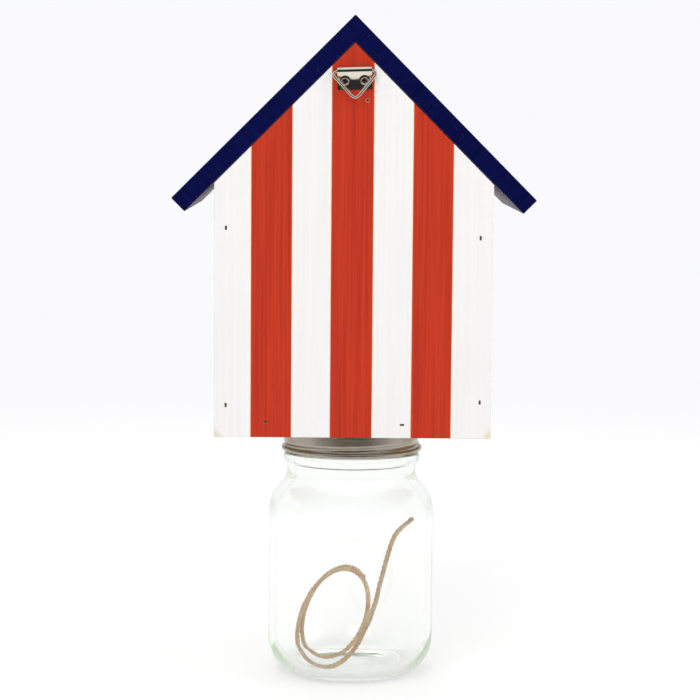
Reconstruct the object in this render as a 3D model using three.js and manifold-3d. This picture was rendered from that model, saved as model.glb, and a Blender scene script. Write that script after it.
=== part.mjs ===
// Carpenter bee trap: a striped wooden house with a gabled roof, on a glass canning jar.
// Millimetres, +Z up. The wall with the hanger faces -Y and the bees' front wall faces +Y.
import * as THREE from "three";
import { mergeVertices } from "three/addons/utils/BufferGeometryUtils.js";
import Module from "manifold-3d";

const wasm = await Module();
wasm.setup();

const { degToRad } = THREE.MathUtils;
const fullTurn = 2 * Math.PI;
const quarterTurn = Math.PI / 2;

// Sizes shared by all pieces
const seatGap = 0.3; // between faces that seat on each other at a slant
const overrun = 2; // how far a cutter runs past the face it opens

// Wooden house
const panelWidth = 139.7;
const wallHeight = 127.9;
const boardThickness = 12.7;
const bodyDepth = 88.9;
const roofPitch = degToRad(45);
const roofThickness = 9.525;
const roofSlopeLength = 129.25;
const roofOverhang = 50.8;
const entranceRadius = 6.35;
const entranceSlope = degToRad(20);
const entranceHeightShare = 0.5035;
const passageRadius = 19;
const spareHoleRadius = 0.6;
const spareHoleDepth = 6;
const spareHoleAcross = 6.3;
const spareHoleBelowApex = 28.4;

// Brads, of flat wire with a T head sunk below the face
const bradWidth = 1.25;
const bradThickness = 1.05;
const bradLength = 31.75;
const bradHeadWidth = 2.2;
const bradHeadDepth = 1.1;
const bradPoint = 2.4;
const bradSink = 0.9;

// Glass jar, measured from the surface it stands on
const jarHeight = 128.4;
const jarRadius = 43.2;
const jarWall = 2.8;
const jarFootRadius = 28;
const jarFootWidth = 3;
const jarPushUp = 1.5;
const jarFloorThickness = 3.4;
const jarHeelHeight = 18.6;
const jarShoulderRise = 23.1;
const jarNeckRadius = 33.7;
const jarNeckRun = 3.9;
const jarBeadStand = 1.7;
const jarBeadHeight = 5.5;
const jarFinishRadius = 33.2;
const jarFinishHeight = 11.5;
const jarFinishWall = 3.2;
const jarLipRadius = 1;
const shoulderFullShare = 0.61;
const shoulderHollowShare = 0.59;

// Screw band and lid disc, of pressed sheet
const sealGap = 0.3;
const sheetThickness = 0.5;
const bandRoom = 1.8; // between the jar's finish and the band's straight wall
const bandFootGap = 0.6; // between the band's foot and the jar's bead
const bandCornerRadius = 1.2;
const bandFlangeWidth = 5;
const bandBeadRadius = 1.25;
const bandWaistDepth = 1.2;
const bandWaistHeight = 3.2;
const lidPlay = 1;

// Pan head screws under the lid
const lidScrewCount = 3;
const lidScrewInset = 1.8; // between a screw's head and the edge of the jar's mouth
const lidScrewHeadRadius = 3.2;
const lidScrewHeadHeight = 1.9;
const lidScrewShankRadius = 1.6;
const lidScrewLength = 11;

// Strap hanger
const hangerWidth = 17.2;
const hangerAcross = -0.3;
const hangerBelowApex = 13.8;
const hangerTilt = degToRad(2);
const strapThickness = 0.7;
const strapBelowScrew = 4.25;
const leafAboveScrew = 0.85;
const leafGap = 0.3;
const leafWrap = degToRad(34);
const loopClearance = 0.65;
const wireRadius = 0.75;
const ringOverhang = 3.7;
const ringOut = 0.3; // from the middle of the loop, which the ring's bar hangs in
const ringDown = 0.2;
const ringDrop = 14.5;
const ringCornerRun = 5;
const ringTipRun = 3.2;
const ringSplit = 0.6;
const ringTilt = degToRad(11.18);
const hangerScrewInset = 3.8;
const hangerScrewBelow = 5.1;
const hangerScrewHeadRadius = 2.25;
const hangerScrewHeadHeight = 1.5;
const hangerScrewShankRadius = 1.2;
const hangerScrewLength = 10;
const scallopGap = 0.55;
const mitreLimitShare = 0.5;

// Twine in the jar
const twineRadius = 1.3;
const twineGap = 0.3;
const coilRadius = 27.6;
const coilGrowth = -3.7;
const coilTurns = 1.82;
const coilTurnGap = 0.45;
const coilDriftAside = -7.1;
const coilDriftUp = 6.5;
const coilAcross = -8.9;
const coilBack = -8.9;
const coilLean = degToRad(-25.6);
const coilTurned = degToRad(52.5);
// The raised end, from the coil up to the tip: across, back and up from the middle of the jar's foot
const tailRoute = [
  [10.8, -34.7, 38.6],
  [12.6, -33.8, 43.7],
  [14.1, -32.9, 50.1],
  [15.8, -31.7, 56.9],
  [18.2, -29.8, 66],
  [21, -27.6, 74.4],
  [24, -25.6, 79.1],
  [30.7, -22.8, 85.2],
];

// Facets
const jarFacets = 40;
const holeFacets = 24;
const screwFacets = 14;
const twineLoopSteps = 24;
const coilSides = 8;
const tailSides = 8;
const tailSteps = 26;
const wireSides = 8;
const ringSteps = 56;
const curveSteps = 8;
const gapSamples = 680;
const leastTurnApart = 0.6; // of a turn, along the twine, before two of its points count as neighbours

// Heights and places of the house that follow from the sizes
const floorUnderside = jarHeight + sealGap + 2 * sheetThickness;
const panelBottom = floorUnderside;
const wallTop = panelBottom + wallHeight;
const gableRise = (panelWidth / 2) * Math.tan(roofPitch);
const gableSlope = panelWidth / 2 / Math.cos(roofPitch);
const apexHeight = wallTop + gableRise;
const bodyMiddle = bodyDepth / 2;
const entranceHeight = panelBottom + wallHeight * entranceHeightShare;
const chamberHalfWidth = panelWidth / 2 - boardThickness;

// Heights and radii of the jar and its closure that follow from the sizes
const jarBeadTop = jarHeight - jarFinishHeight;
const jarBeadFoot = jarBeadTop - jarBeadHeight;
const jarNeckFoot = jarBeadFoot - jarNeckRun;
const jarShoulderFoot = jarNeckFoot - jarShoulderRise;
const jarMouthRadius = jarFinishRadius - jarFinishWall;
const bandInnerRadius = jarFinishRadius + bandRoom;
const bandOuterRadius = bandInnerRadius + sheetThickness;
const bandBottom = jarBeadTop + bandFootGap;
const lidRadius = bandInnerRadius - lidPlay;
const lidScrewCircle = jarMouthRadius - lidScrewHeadRadius - lidScrewInset;

// Materials
const finish = (color, roughness, metalness = 0) =>
  new THREE.MeshStandardMaterial({ color, roughness, metalness });
const whitePaint = finish(0xf4f1ee, 0.55);
const navyPaint = finish(0x0a0f4b, 0.4);
const bareWood = finish(0xd9b98a, 0.7);
const bradSteel = finish(0xa8a294, 0.45, 1);
const nickel = finish(0xd8d4c6, 0.2, 1);
const pewter = finish(0x8a857c, 0.35, 1);
const jute = finish(0xb2966e, 0.9);
const glass = new THREE.MeshStandardMaterial({
  color: 0xe6f2ea,
  roughness: 0.05,
  metalness: 0,
  transparent: true,
  opacity: 0.35,
});

// Solids

/** Turns a closed geometry into a manifold solid. */
function solidOf(geometry) {
  const bare = geometry.clone();
  bare.deleteAttribute("normal");
  bare.deleteAttribute("uv");
  const merged = mergeVertices(bare);
  const vertProperties = new Float32Array(merged.attributes.position.array);
  const triVerts = new Uint32Array(merged.index.array);
  return new wasm.Manifold(new wasm.Mesh({ numProp: 3, vertProperties, triVerts }));
}

/** Turns a manifold solid into a geometry. */
function geometryOf(solid) {
  const { vertProperties, triVerts } = solid.getMesh();
  const geometry = new THREE.BufferGeometry();
  geometry.setAttribute("position", new THREE.BufferAttribute(new Float32Array(vertProperties), 3));
  geometry.setIndex(new THREE.BufferAttribute(new Uint32Array(triVerts), 1));
  return geometry;
}

/** Cuts every tool out of a body. */
function cut(body, tools) {
  return geometryOf(tools.reduce((left, tool) => left.subtract(solidOf(tool)), solidOf(body)));
}

/** A closed outline through the given points. */
function outline(points) {
  return new THREE.Shape(points.map(([across, up]) => new THREE.Vector2(across, up)));
}

/** A board with its outline in the XZ plane, from one depth to another along Y. */
function board(points, front, back) {
  const geometry = new THREE.ExtrudeGeometry(outline(points), { depth: back - front, bevelEnabled: false });
  return geometry.rotateX(quarterTurn).translate(0, back, 0);
}

/** A turned body about the Z axis, from radius and height pairs. */
function turned(points, facets) {
  const profile = points.map(([radius, height]) => new THREE.Vector2(radius, height));
  return new THREE.LatheGeometry(profile, facets).rotateX(quarterTurn);
}

/** A round cutter along Z, centred on the origin. */
function drill(radius, length, facets = holeFacets) {
  return new THREE.CylinderGeometry(radius, radius, length, facets).rotateX(quarterTurn);
}

/** A tube along a curve. */
function tube(curve, radius, sides, steps) {
  const corners = Array.from({ length: sides }, (_, i) => {
    const angle = (fullTurn * i) / sides;
    return [radius * Math.cos(angle), radius * Math.sin(angle)];
  });
  return new THREE.ExtrudeGeometry(outline(corners), { steps, extrudePath: curve, bevelEnabled: false });
}

/** Points on an elliptical quarter, from the foot of the arc to its side. */
function quarterArc(centreRadius, centreHeight, across, up, steps) {
  return Array.from({ length: steps + 1 }, (_, i) => {
    const angle = (quarterTurn * i) / steps;
    return [centreRadius + across * Math.sin(angle), centreHeight - up * Math.cos(angle)];
  });
}

const assembly = new THREE.Group();

/** Adds a named piece to a group. */
function add(name, geometry, material, group = assembly) {
  const piece = new THREE.Mesh(geometry, material);
  piece.name = name;
  group.add(piece);
  return piece;
}

// Brads

/** A T-headed brad, driven along +Y from its head at the origin. Its head is long in Z. */
function bradGeometry(clearance = 0, mouth = 0) {
  const half = bradWidth / 2 + clearance;
  const headHalf = bradHeadWidth / 2 + clearance;
  const shoulder = bradHeadDepth + clearance;
  const end = bradLength + clearance;
  const points = [
    [-mouth, -headHalf],
    [shoulder, -headHalf],
    [shoulder, -half],
    [end - bradPoint, -half],
    [end, -bradThickness / 4],
    [end, bradThickness / 4],
    [end - bradPoint, half],
    [shoulder, half],
    [shoulder, headHalf],
    [-mouth, headHalf],
  ];
  const depth = bradThickness + 2 * clearance;
  const geometry = new THREE.ExtrudeGeometry(outline(points), { depth, bevelEnabled: false });
  // The outline lies in XY, with X along the brad: X becomes Y, Y becomes Z and Z becomes X
  return geometry.translate(0, 0, -depth / 2).applyMatrix4(
    new THREE.Matrix4().makeBasis(
      new THREE.Vector3(0, 1, 0),
      new THREE.Vector3(0, 0, 1),
      new THREE.Vector3(1, 0, 0),
    ),
  );
}

/** A brad's pose: its head's place, the way it is driven and the way its head lies. */
function bradPose(place, driven, headAlong) {
  const side = new THREE.Vector3().crossVectors(driven, headAlong);
  const matrix = new THREE.Matrix4().makeBasis(side, driven, headAlong);
  return matrix.setPosition(place);
}

const upright = new THREE.Vector3(0, 0, 1);
const level = new THREE.Vector3(1, 0, 0);
const inFromBack = new THREE.Vector3(0, 1, 0);
const inFromFront = new THREE.Vector3(0, -1, 0);

// Side brads as side, share of the board in from its edge, share of the wall's height
const sideBradShares = [
  [-1, 0.465, 0.825],
  [-1, 0.465, 0.127],
  [1, 0.5, 0.792],
  [1, 0.45, 0.144],
];
// Floor brads as share of the chamber's half width and share of the floor's thickness
const floorBradShares = [
  [-0.768, 0.611],
  [0.439, 0.531],
];

/** The poses of the six brads through a gabled panel. */
function panelBrads(driven) {
  const depth = driven.y > 0 ? bradSink : bodyDepth - bradSink;
  const sides = sideBradShares.map(([side, inset, height]) =>
    bradPose(
      new THREE.Vector3(
        side * (panelWidth / 2 - inset * boardThickness),
        depth,
        panelBottom + height * wallHeight,
      ),
      driven,
      upright,
    ),
  );
  const floor = floorBradShares.map(([across, up]) =>
    bradPose(
      new THREE.Vector3(across * chamberHalfWidth, depth, floorUnderside + up * boardThickness),
      driven,
      level,
    ),
  );
  return { sides, floor };
}

const backBrads = panelBrads(inFromBack);
const frontBrads = panelBrads(inFromFront);

// Roof brads as share of the gable's slope down from the ridge, driven square to the boards
const roofBradShares = [0.471, 0.89];

/** The poses of the four brads through one roof board. */
function roofBrads(side) {
  const outwards = new THREE.Vector3(side * Math.sin(roofPitch), 0, Math.cos(roofPitch));
  const down = new THREE.Vector3(side * Math.cos(roofPitch), 0, -Math.sin(roofPitch));
  const along = new THREE.Vector3(0, 1, 0);
  return roofBradShares.flatMap((share) =>
    [boardThickness / 2, bodyDepth - boardThickness / 2].map((depth) => {
      const place = new THREE.Vector3(0, depth, ridgeOuter);
      place.addScaledVector(down, share * gableSlope).addScaledVector(outwards, -bradSink);
      return bradPose(place, outwards.clone().negate(), along);
    }),
  );
}

/** The slots that brads leave in the boards they pass. */
function bradSlots(poses, clearance = 0) {
  return poses.map((pose) => bradGeometry(clearance, bradSink + overrun).applyMatrix4(pose));
}

/** Adds one piece for each brad. */
function addBrads(name, poses) {
  poses.forEach((pose, i) => {
    add(`${name}_${i + 1}`, bradGeometry().applyMatrix4(pose), bradSteel);
  });
}

// Hanger's own frame: the middle of the ring's top bar, on the back panel's face
const hanger = new THREE.Group();
hanger.position.set(hangerAcross, 0, apexHeight - hangerBelowApex);
hanger.rotation.y = -hangerTilt;
hanger.updateMatrix();
assembly.add(hanger);
const hangerScrewPlaces = [-1, 1].map((side) => side * (hangerWidth / 2 - hangerScrewInset));

// Roof lines: heights of the ridge under and over the boards
const ridgeInner = apexHeight + seatGap / Math.cos(roofPitch);
const ridgeOuter = ridgeInner + roofThickness / Math.cos(roofPitch);
const roofBradPoses = { left: roofBrads(-1), right: roofBrads(1) };

// Gabled panels
const gable = [
  [-panelWidth / 2, panelBottom],
  [panelWidth / 2, panelBottom],
  [panelWidth / 2, wallTop],
  [0, apexHeight],
  [-panelWidth / 2, wallTop],
];

/** The slanted entrance through a wall: the hole rises as it goes in. */
function entrance(middle, inwards) {
  const axis = inwards
    .clone()
    .multiplyScalar(Math.cos(entranceSlope))
    .addScaledVector(upright, Math.sin(entranceSlope));
  const turn = new THREE.Quaternion().setFromUnitVectors(upright, axis);
  const length = 2 * (boardThickness + entranceRadius) + overrun;
  return drill(entranceRadius, length).applyQuaternion(turn).translate(...middle.toArray());
}

const hangerPilots = hangerScrewPlaces.map((across) =>
  drill(hangerScrewShankRadius + seatGap, 2 * hangerScrewLength, screwFacets)
    .rotateX(quarterTurn)
    .translate(across, 0, -hangerScrewBelow)
    .applyMatrix4(hanger.matrix),
);
const spareHole = drill(spareHoleRadius, 2 * spareHoleDepth, screwFacets)
  .rotateX(quarterTurn)
  .translate(spareHoleAcross, 0, apexHeight - spareHoleBelowApex);
const allRoofBrads = [...roofBradPoses.left, ...roofBradPoses.right];

add(
  "back_panel",
  cut(board(gable, 0, boardThickness), [
    ...bradSlots([...backBrads.sides, ...backBrads.floor]),
    ...bradSlots(allRoofBrads, seatGap),
    ...hangerPilots,
    spareHole,
  ]),
  whitePaint,
);
const frontMiddle = new THREE.Vector3(0, bodyDepth - boardThickness / 2, entranceHeight);
add(
  "front_panel",
  cut(board(gable, bodyDepth - boardThickness, bodyDepth), [
    ...bradSlots([...frontBrads.sides, ...frontBrads.floor]),
    ...bradSlots(allRoofBrads, seatGap),
    entrance(frontMiddle, inFromFront),
  ]),
  whitePaint,
);

// Side boards, with their tops bevelled to the roof
[["left_side", -1], ["right_side", 1]].forEach(([name, side]) => {
  const [outer, inner] = [(side * panelWidth) / 2, side * chamberHalfWidth];
  const profile = [
    [outer, panelBottom],
    [outer, wallTop],
    [inner, wallTop + boardThickness * Math.tan(roofPitch)],
    [inner, panelBottom],
  ];
  const middle = new THREE.Vector3(side * (panelWidth - boardThickness) / 2, bodyMiddle, entranceHeight);
  add(
    name,
    cut(board(profile, boardThickness, bodyDepth - boardThickness), [
      ...bradSlots([...backBrads.sides, ...frontBrads.sides]),
      entrance(middle, level.clone().multiplyScalar(-side)),
    ]),
    whitePaint,
  );
});

// Floor board, with the passage to the jar and the pilot holes of the lid's screws
const lidScrewPlaces = Array.from({ length: lidScrewCount }, (_, i) => {
  const angle = (fullTurn * i) / lidScrewCount;
  return [lidScrewCircle * Math.cos(angle), bodyMiddle + lidScrewCircle * Math.sin(angle)];
});
const floorDepth = bodyDepth - 2 * boardThickness;
const floorBoard = new THREE.BoxGeometry(2 * chamberHalfWidth, floorDepth, boardThickness)
  .translate(0, bodyMiddle, floorUnderside + boardThickness / 2);
add(
  "floor_board",
  cut(floorBoard, [
    drill(passageRadius, 2 * boardThickness + overrun).translate(0, bodyMiddle, floorUnderside),
    ...lidScrewPlaces.map(([across, back]) => {
      const pilot = drill(lidScrewShankRadius + seatGap, 2 * lidScrewLength, screwFacets);
      return pilot.translate(across, back, floorUnderside);
    }),
    ...bradSlots([...backBrads.floor, ...frontBrads.floor]),
  ]),
  bareWood,
);

// Roof boards, mitred at the ridge and cut square at the eaves
[["left_roof_board", -1, roofBradPoses.left], ["right_roof_board", 1, roofBradPoses.right]].forEach(
  ([name, side, poses]) => {
    const eaveReach = roofSlopeLength * Math.cos(roofPitch);
    const eaveHeight = ridgeOuter - roofSlopeLength * Math.sin(roofPitch);
    const eaveInset = roofThickness * Math.sin(roofPitch);
    const profile = [
      [0, ridgeOuter],
      [side * eaveReach, eaveHeight],
      [side * (eaveReach - eaveInset), eaveHeight - roofThickness * Math.cos(roofPitch)],
      [0, ridgeInner],
    ];
    const slab = board(profile, 0, bodyDepth + roofOverhang);
    add(name, cut(slab, bradSlots(poses, seatGap)), navyPaint);
  },
);

addBrads("back_brad", [...backBrads.sides, ...backBrads.floor]);
addBrads("front_brad", [...frontBrads.sides, ...frontBrads.floor]);
addBrads("left_roof_brad", roofBradPoses.left);
addBrads("right_roof_brad", roofBradPoses.right);

// Screws

/** A pan head screw along Z, with its head above zero and its point below. */
function screwGeometry(headRadius, headHeight, shankRadius, length) {
  const dome = quarterArc(0, 0, headRadius, -headHeight, curveSteps / 2);
  const point = length - 2 * shankRadius;
  return turned([...dome, [shankRadius, 0], [shankRadius, -point], [0, -length]].reverse(), screwFacets);
}

// Strap hanger

/** A closed ribbon of one thickness along a line of points. */
function ribbon(points, thickness) {
  const sides = points.map(([across, up], i) => {
    const before = points[Math.max(0, i - 1)];
    const after = points[Math.min(points.length - 1, i + 1)];
    const into = new THREE.Vector2(across - before[0], up - before[1]).normalize();
    const out = new THREE.Vector2(after[0] - across, after[1] - up).normalize();
    const along = into.add(out).normalize();
    const squareness = Math.abs(along.dot(out.lengthSq() ? out : along));
    const reach = thickness / 2 / Math.max(mitreLimitShare, squareness);
    const offset = [-along.y * reach, along.x * reach];
    return [[across + offset[0], up + offset[1]], [across - offset[0], up - offset[1]]];
  });
  return [...sides.map(([left]) => left), ...sides.map(([, right]) => right).reverse()];
}

// The strap's middle line, as distance out from the panel and height over the ring's bar
const loopInner = wireRadius + loopClearance;
const barOut = strapThickness + loopInner;
const loopMiddle = loopInner + strapThickness / 2;
const leafOut = strapThickness + leafGap + strapThickness / 2;
const loopArc = Array.from({ length: 2 * curveSteps + 1 }, (_, i) => {
  const angle = Math.PI - ((Math.PI + leafWrap) * i) / (2 * curveSteps);
  return [barOut + loopMiddle * Math.cos(angle), loopMiddle * Math.sin(angle)];
});
const strapLine = [
  [strapThickness / 2, -hangerScrewBelow - strapBelowScrew],
  ...loopArc,
  [leafOut, leafAboveScrew - hangerScrewBelow],
];
const strap = new THREE.ExtrudeGeometry(outline(ribbon(strapLine, strapThickness)), {
  depth: hangerWidth,
  bevelEnabled: false,
}).applyMatrix4(
  // The ribbon's X points out of the panel to -Y, its Y up, and it is as long as the hanger is wide
  new THREE.Matrix4().makeBasis(new THREE.Vector3(0, -1, 0), upright, new THREE.Vector3(-1, 0, 0)),
).translate(hangerWidth / 2, 0, 0);
const strapHoles = hangerScrewPlaces.flatMap((across) => {
  const hole = drill(hangerScrewShankRadius + seatGap, 2 * strapThickness + overrun, screwFacets);
  const scallop = drill(hangerScrewHeadRadius + scallopGap, 2 * barOut, holeFacets);
  const scallopOut = strapThickness + leafGap / 2 + barOut;
  return [
    hole.rotateX(quarterTurn).translate(across, 0, -hangerScrewBelow),
    scallop.rotateX(quarterTurn).translate(across, -scallopOut, -hangerScrewBelow),
  ];
});
add("hanger_plate", cut(strap, strapHoles), nickel, hanger);

/** A path of straight runs whose corners are rounded off, each over its own run. */
function roundedPath(corners, runs) {
  const path = new THREE.CurvePath();
  let from = corners[0];
  corners.slice(1, -1).forEach((corner, i) => {
    const start = corner.clone().addScaledVector(corners[i].clone().sub(corner).normalize(), runs[i]);
    const end = corner.clone().addScaledVector(corners[i + 2].clone().sub(corner).normalize(), runs[i]);
    path.add(new THREE.LineCurve3(from, start));
    path.add(new THREE.QuadraticBezierCurve3(start, corner, end));
    from = end;
  });
  path.add(new THREE.LineCurve3(from, corners.at(-1)));
  return path;
}

// Triangular ring, split in its top bar, which the strap's loop hides
const ringReach = hangerWidth / 2 + ringOverhang;
const ringPath = roundedPath(
  [
    [ringSplit / 2, 0],
    [ringReach, 0],
    [0, -ringDrop],
    [-ringReach, 0],
    [-ringSplit / 2, 0],
  ].map(([across, up]) => new THREE.Vector3(across, 0, up)),
  [ringCornerRun, ringTipRun, ringCornerRun],
);
const ring = add("hanger_ring", tube(ringPath, wireRadius, wireSides, ringSteps), nickel, hanger);
ring.position.set(0, -barOut - ringOut, -ringDown);
ring.rotation.x = -ringTilt;

hangerScrewPlaces.forEach((across, i) => {
  const geometry = screwGeometry(
    hangerScrewHeadRadius,
    hangerScrewHeadHeight,
    hangerScrewShankRadius,
    hangerScrewLength,
  );
  const screw = add(`hanger_screw_${i + 1}`, geometry, pewter, hanger);
  screw.position.set(across, -strapThickness, -hangerScrewBelow);
  screw.rotation.x = quarterTurn;
});

// Jar, band and lid share the jar's axis
const closure = new THREE.Group();
closure.position.set(0, bodyMiddle, 0);
assembly.add(closure);

// Screw band: a flange over the lid, a corner, a collar, a pressed waist and a curled bead
const bandBeadMiddle = bandBottom + bandBeadRadius;
const bandWaistFoot = bandBeadMiddle + bandBeadRadius;
const bandCornerHeight = floorUnderside - bandCornerRadius;
const bandCornerMiddle = bandOuterRadius - bandCornerRadius;

/** The band's corner from the wall up to the flange, at a distance from the corner's middle. */
function bandCorner(radius, steps) {
  return quarterArc(bandCornerMiddle, bandCornerHeight, radius, -radius, steps).toReversed();
}

/** The pressed waist of the band's wall, from the bead up to the collar. */
function bandWaist(radius) {
  const steps = curveSteps - 2;
  return Array.from({ length: steps + 1 }, (_, i) => {
    const pressedIn = bandWaistDepth * Math.sin((Math.PI * i) / steps);
    return [radius - pressedIn, bandWaistFoot + (bandWaistHeight * i) / steps];
  });
}

const beadCurl = Array.from({ length: curveSteps - 1 }, (_, i) => {
  const angle = (Math.PI * (i + 1)) / curveSteps - quarterTurn;
  const height = bandBeadMiddle + bandBeadRadius * Math.sin(angle);
  return [bandOuterRadius + bandBeadRadius * Math.cos(angle), height];
});
const bandOutside = [
  [bandInnerRadius, bandBottom],
  [bandOuterRadius, bandBottom],
  ...beadCurl,
  ...bandWaist(bandOuterRadius),
  ...bandCorner(bandCornerRadius, curveSteps / 2),
  [bandOuterRadius - bandFlangeWidth, floorUnderside],
];
const bandInside = [
  ...bandWaist(bandInnerRadius),
  ...bandCorner(bandCornerRadius - sheetThickness, curveSteps / 4),
  [bandOuterRadius - bandFlangeWidth, floorUnderside - sheetThickness],
];
const bandProfile = [...bandOutside, ...bandInside.toReversed(), bandOutside[0]];
add("screw_band", turned(bandProfile, jarFacets), pewter, closure);

// Lid disc under the flange, with the bees' hole and three screw holes
const lidTop = floorUnderside - sheetThickness;
const lidScrewSpots = lidScrewPlaces.map(([across, back]) => [across, back - bodyMiddle]);
add(
  "lid_disc",
  cut(drill(lidRadius, sheetThickness, jarFacets).translate(0, 0, lidTop - sheetThickness / 2), [
    drill(passageRadius, sheetThickness + overrun).translate(0, 0, lidTop - sheetThickness / 2),
    ...lidScrewSpots.map(([across, back]) =>
      drill(lidScrewShankRadius + seatGap, sheetThickness + overrun, screwFacets)
        .translate(across, back, lidTop - sheetThickness / 2),
    ),
  ]),
  pewter,
  closure,
);
lidScrewSpots.forEach(([across, back], i) => {
  const geometry = screwGeometry(
    lidScrewHeadRadius,
    lidScrewHeadHeight,
    lidScrewShankRadius,
    lidScrewLength,
  );
  const screw = add(`lid_screw_${i + 1}`, geometry, bradSteel, closure);
  screw.position.set(across, back, lidTop - sheetThickness);
  screw.rotation.x = Math.PI;
});

// Glass jar: foot, heel, wall, shoulder, neck, bead and finish, then the inside back down

/** Points up a shoulder, full at the body and hollow at the neck. */
function shoulder(bodyRadius, neckRadius, drop, steps) {
  const low = jarShoulderFoot - drop;
  const curve = new THREE.CubicBezierCurve(
    new THREE.Vector2(bodyRadius, low),
    new THREE.Vector2(bodyRadius, low + shoulderFullShare * jarShoulderRise),
    new THREE.Vector2(neckRadius, low + shoulderHollowShare * jarShoulderRise),
    new THREE.Vector2(neckRadius, low + jarShoulderRise),
  );
  return curve.getPoints(steps).map(({ x, y }) => [x, y]);
}

const transferBead = Array.from({ length: curveSteps - 1 }, (_, i) => {
  const angle = (Math.PI * (i + 1)) / curveSteps - quarterTurn;
  return [
    jarNeckRadius + jarBeadStand * Math.sqrt(Math.cos(angle)),
    jarBeadFoot + (jarBeadHeight / 2) * (1 + Math.sin(angle)),
  ];
});
const lipHeight = jarHeight - jarLipRadius;
const jarInnerRadius = jarRadius - jarWall;
const heelInnerRadius = jarFootRadius - jarWall;
const heelInnerHeight = jarHeelHeight + jarWall / 2;
const jarOutside = [
  [0, jarPushUp],
  [jarFootRadius - jarFootWidth, jarPushUp],
  [jarFootRadius - jarFootWidth / 2, 0],
  ...quarterArc(jarFootRadius, jarHeelHeight, jarRadius - jarFootRadius, jarHeelHeight, curveSteps - 2),
  ...shoulder(jarRadius, jarNeckRadius, 0, curveSteps),
  [jarNeckRadius, jarBeadFoot],
  ...transferBead,
  [jarFinishRadius, jarBeadTop],
  [jarFinishRadius, lipHeight],
  [jarFinishRadius - jarLipRadius, jarHeight],
];
const jarInside = [
  [0, jarFloorThickness],
  ...quarterArc(
    heelInnerRadius,
    heelInnerHeight,
    jarInnerRadius - heelInnerRadius,
    heelInnerHeight - jarFloorThickness,
    curveSteps - 2,
  ),
  ...shoulder(jarInnerRadius, jarMouthRadius, jarWall, curveSteps),
  [jarMouthRadius, lipHeight],
  [jarMouthRadius + jarLipRadius, jarHeight],
];
add("jar", turned([...jarOutside, ...jarInside.toReversed()], jarFacets), glass, closure);

// Twine: a loose coil standing on the jar's floor, which narrows and drifts as it's wound, and its raised end
const coilPitch = 2 * twineRadius + coilTurnGap;
const coilEndRun = 2 * twineRadius;
const coilMiddle = 0.5;
const coilNormal = new THREE.Vector3(
  Math.sin(coilTurned) * Math.cos(coilLean),
  Math.cos(coilTurned) * Math.cos(coilLean),
  Math.sin(coilLean),
);
const coilUp = upright.clone().addScaledVector(coilNormal, -coilNormal.z).normalize();
const coilAside = new THREE.Vector3().crossVectors(coilNormal, coilUp);
const coilSteps = Math.round(twineLoopSteps * coilTurns);
const coilPoints = Array.from({ length: coilSteps + 1 }, (_, i) => {
  const share = i / coilSteps;
  const angle = -fullTurn * coilTurns * share;
  const radius = coilRadius + coilGrowth * share;
  const drift = share - coilMiddle;
  return new THREE.Vector3(coilAcross, coilBack, 0)
    .addScaledVector(coilAside, radius * Math.cos(angle) + coilDriftAside * drift)
    .addScaledVector(coilUp, radius * Math.sin(angle) + coilDriftUp * drift)
    .addScaledVector(coilNormal, coilPitch * coilTurns * drift);
});
const coilLowest = Math.min(...coilPoints.map((point) => point.z));
coilPoints.forEach((point) => {
  point.z += jarFloorThickness + twineGap + twineRadius - coilLowest;
});

/** A point straight on from the second of two points. */
function straightOn(before, end, run) {
  return end.clone().addScaledVector(end.clone().sub(before).normalize(), run);
}

const coilStart = straightOn(coilPoints[1], coilPoints[0], coilEndRun);
const coilEnd = straightOn(coilPoints.at(-2), coilPoints.at(-1), coilEndRun);
const coilPath = new THREE.CatmullRomCurve3([coilStart, ...coilPoints, coilEnd], false, "centripetal");
add("twine_coil", tube(coilPath, twineRadius, coilSides, coilSteps + 2), jute, closure);

const tailStart = straightOn(coilPoints[0], coilStart, twineGap);
const tailPath = new THREE.CatmullRomCurve3(
  [
    tailStart,
    straightOn(coilPoints[0], tailStart, coilEndRun),
    ...tailRoute.map((point) => new THREE.Vector3(...point)),
  ],
  false,
  "centripetal",
);
add("twine_tail", tube(tailPath, twineRadius, tailSides, tailSteps), jute, closure);

/** The least gap between the coil's turns, measured on points of its middle line. */
function leastTwineGap() {
  const points = coilPath.getSpacedPoints(gapSamples);
  const apart = Math.round((gapSamples * leastTurnApart) / coilTurns);
  let least = Infinity;
  for (let i = 0; i < points.length; i += 1) {
    for (let j = i + apart; j < points.length; j += 1) {
      least = Math.min(least, points[i].distanceTo(points[j]));
    }
  }
  return least - 2 * twineRadius;
}
console.log(`least gap between the turns of the twine: ${leastTwineGap().toFixed(2)} mm`);
console.log(`twine: ${(coilPath.getLength() + tailPath.getLength() + twineGap).toFixed(1)} mm long`);

// The origin lies on the surface the jar stands on, under the middle of the whole outline
assembly.updateMatrixWorld(true);
const reach = new THREE.Box3().setFromObject(assembly, true);
assembly.position.set(-(reach.min.x + reach.max.x) / 2, -(reach.min.y + reach.max.y) / 2, 0);

export default assembly;
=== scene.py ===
"""Looks of a carpenter bee trap: a striped wooden house on a glass canning jar.

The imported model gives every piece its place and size. This script dresses it with eased and painted
boards, a folded strap hanger, a pressed screw band, a moulded glass jar and a length of jute twine.
Lengths are in metres and +Z is up. The wall with the hanger faces -Y, the bees' front wall faces +Y.
"""

from __future__ import annotations

import logging
import math
import random
from collections.abc import Callable, Iterable, Sequence
from dataclasses import dataclass
from enum import Enum

import bmesh
import bpy
from mathutils import Matrix, Vector


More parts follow.
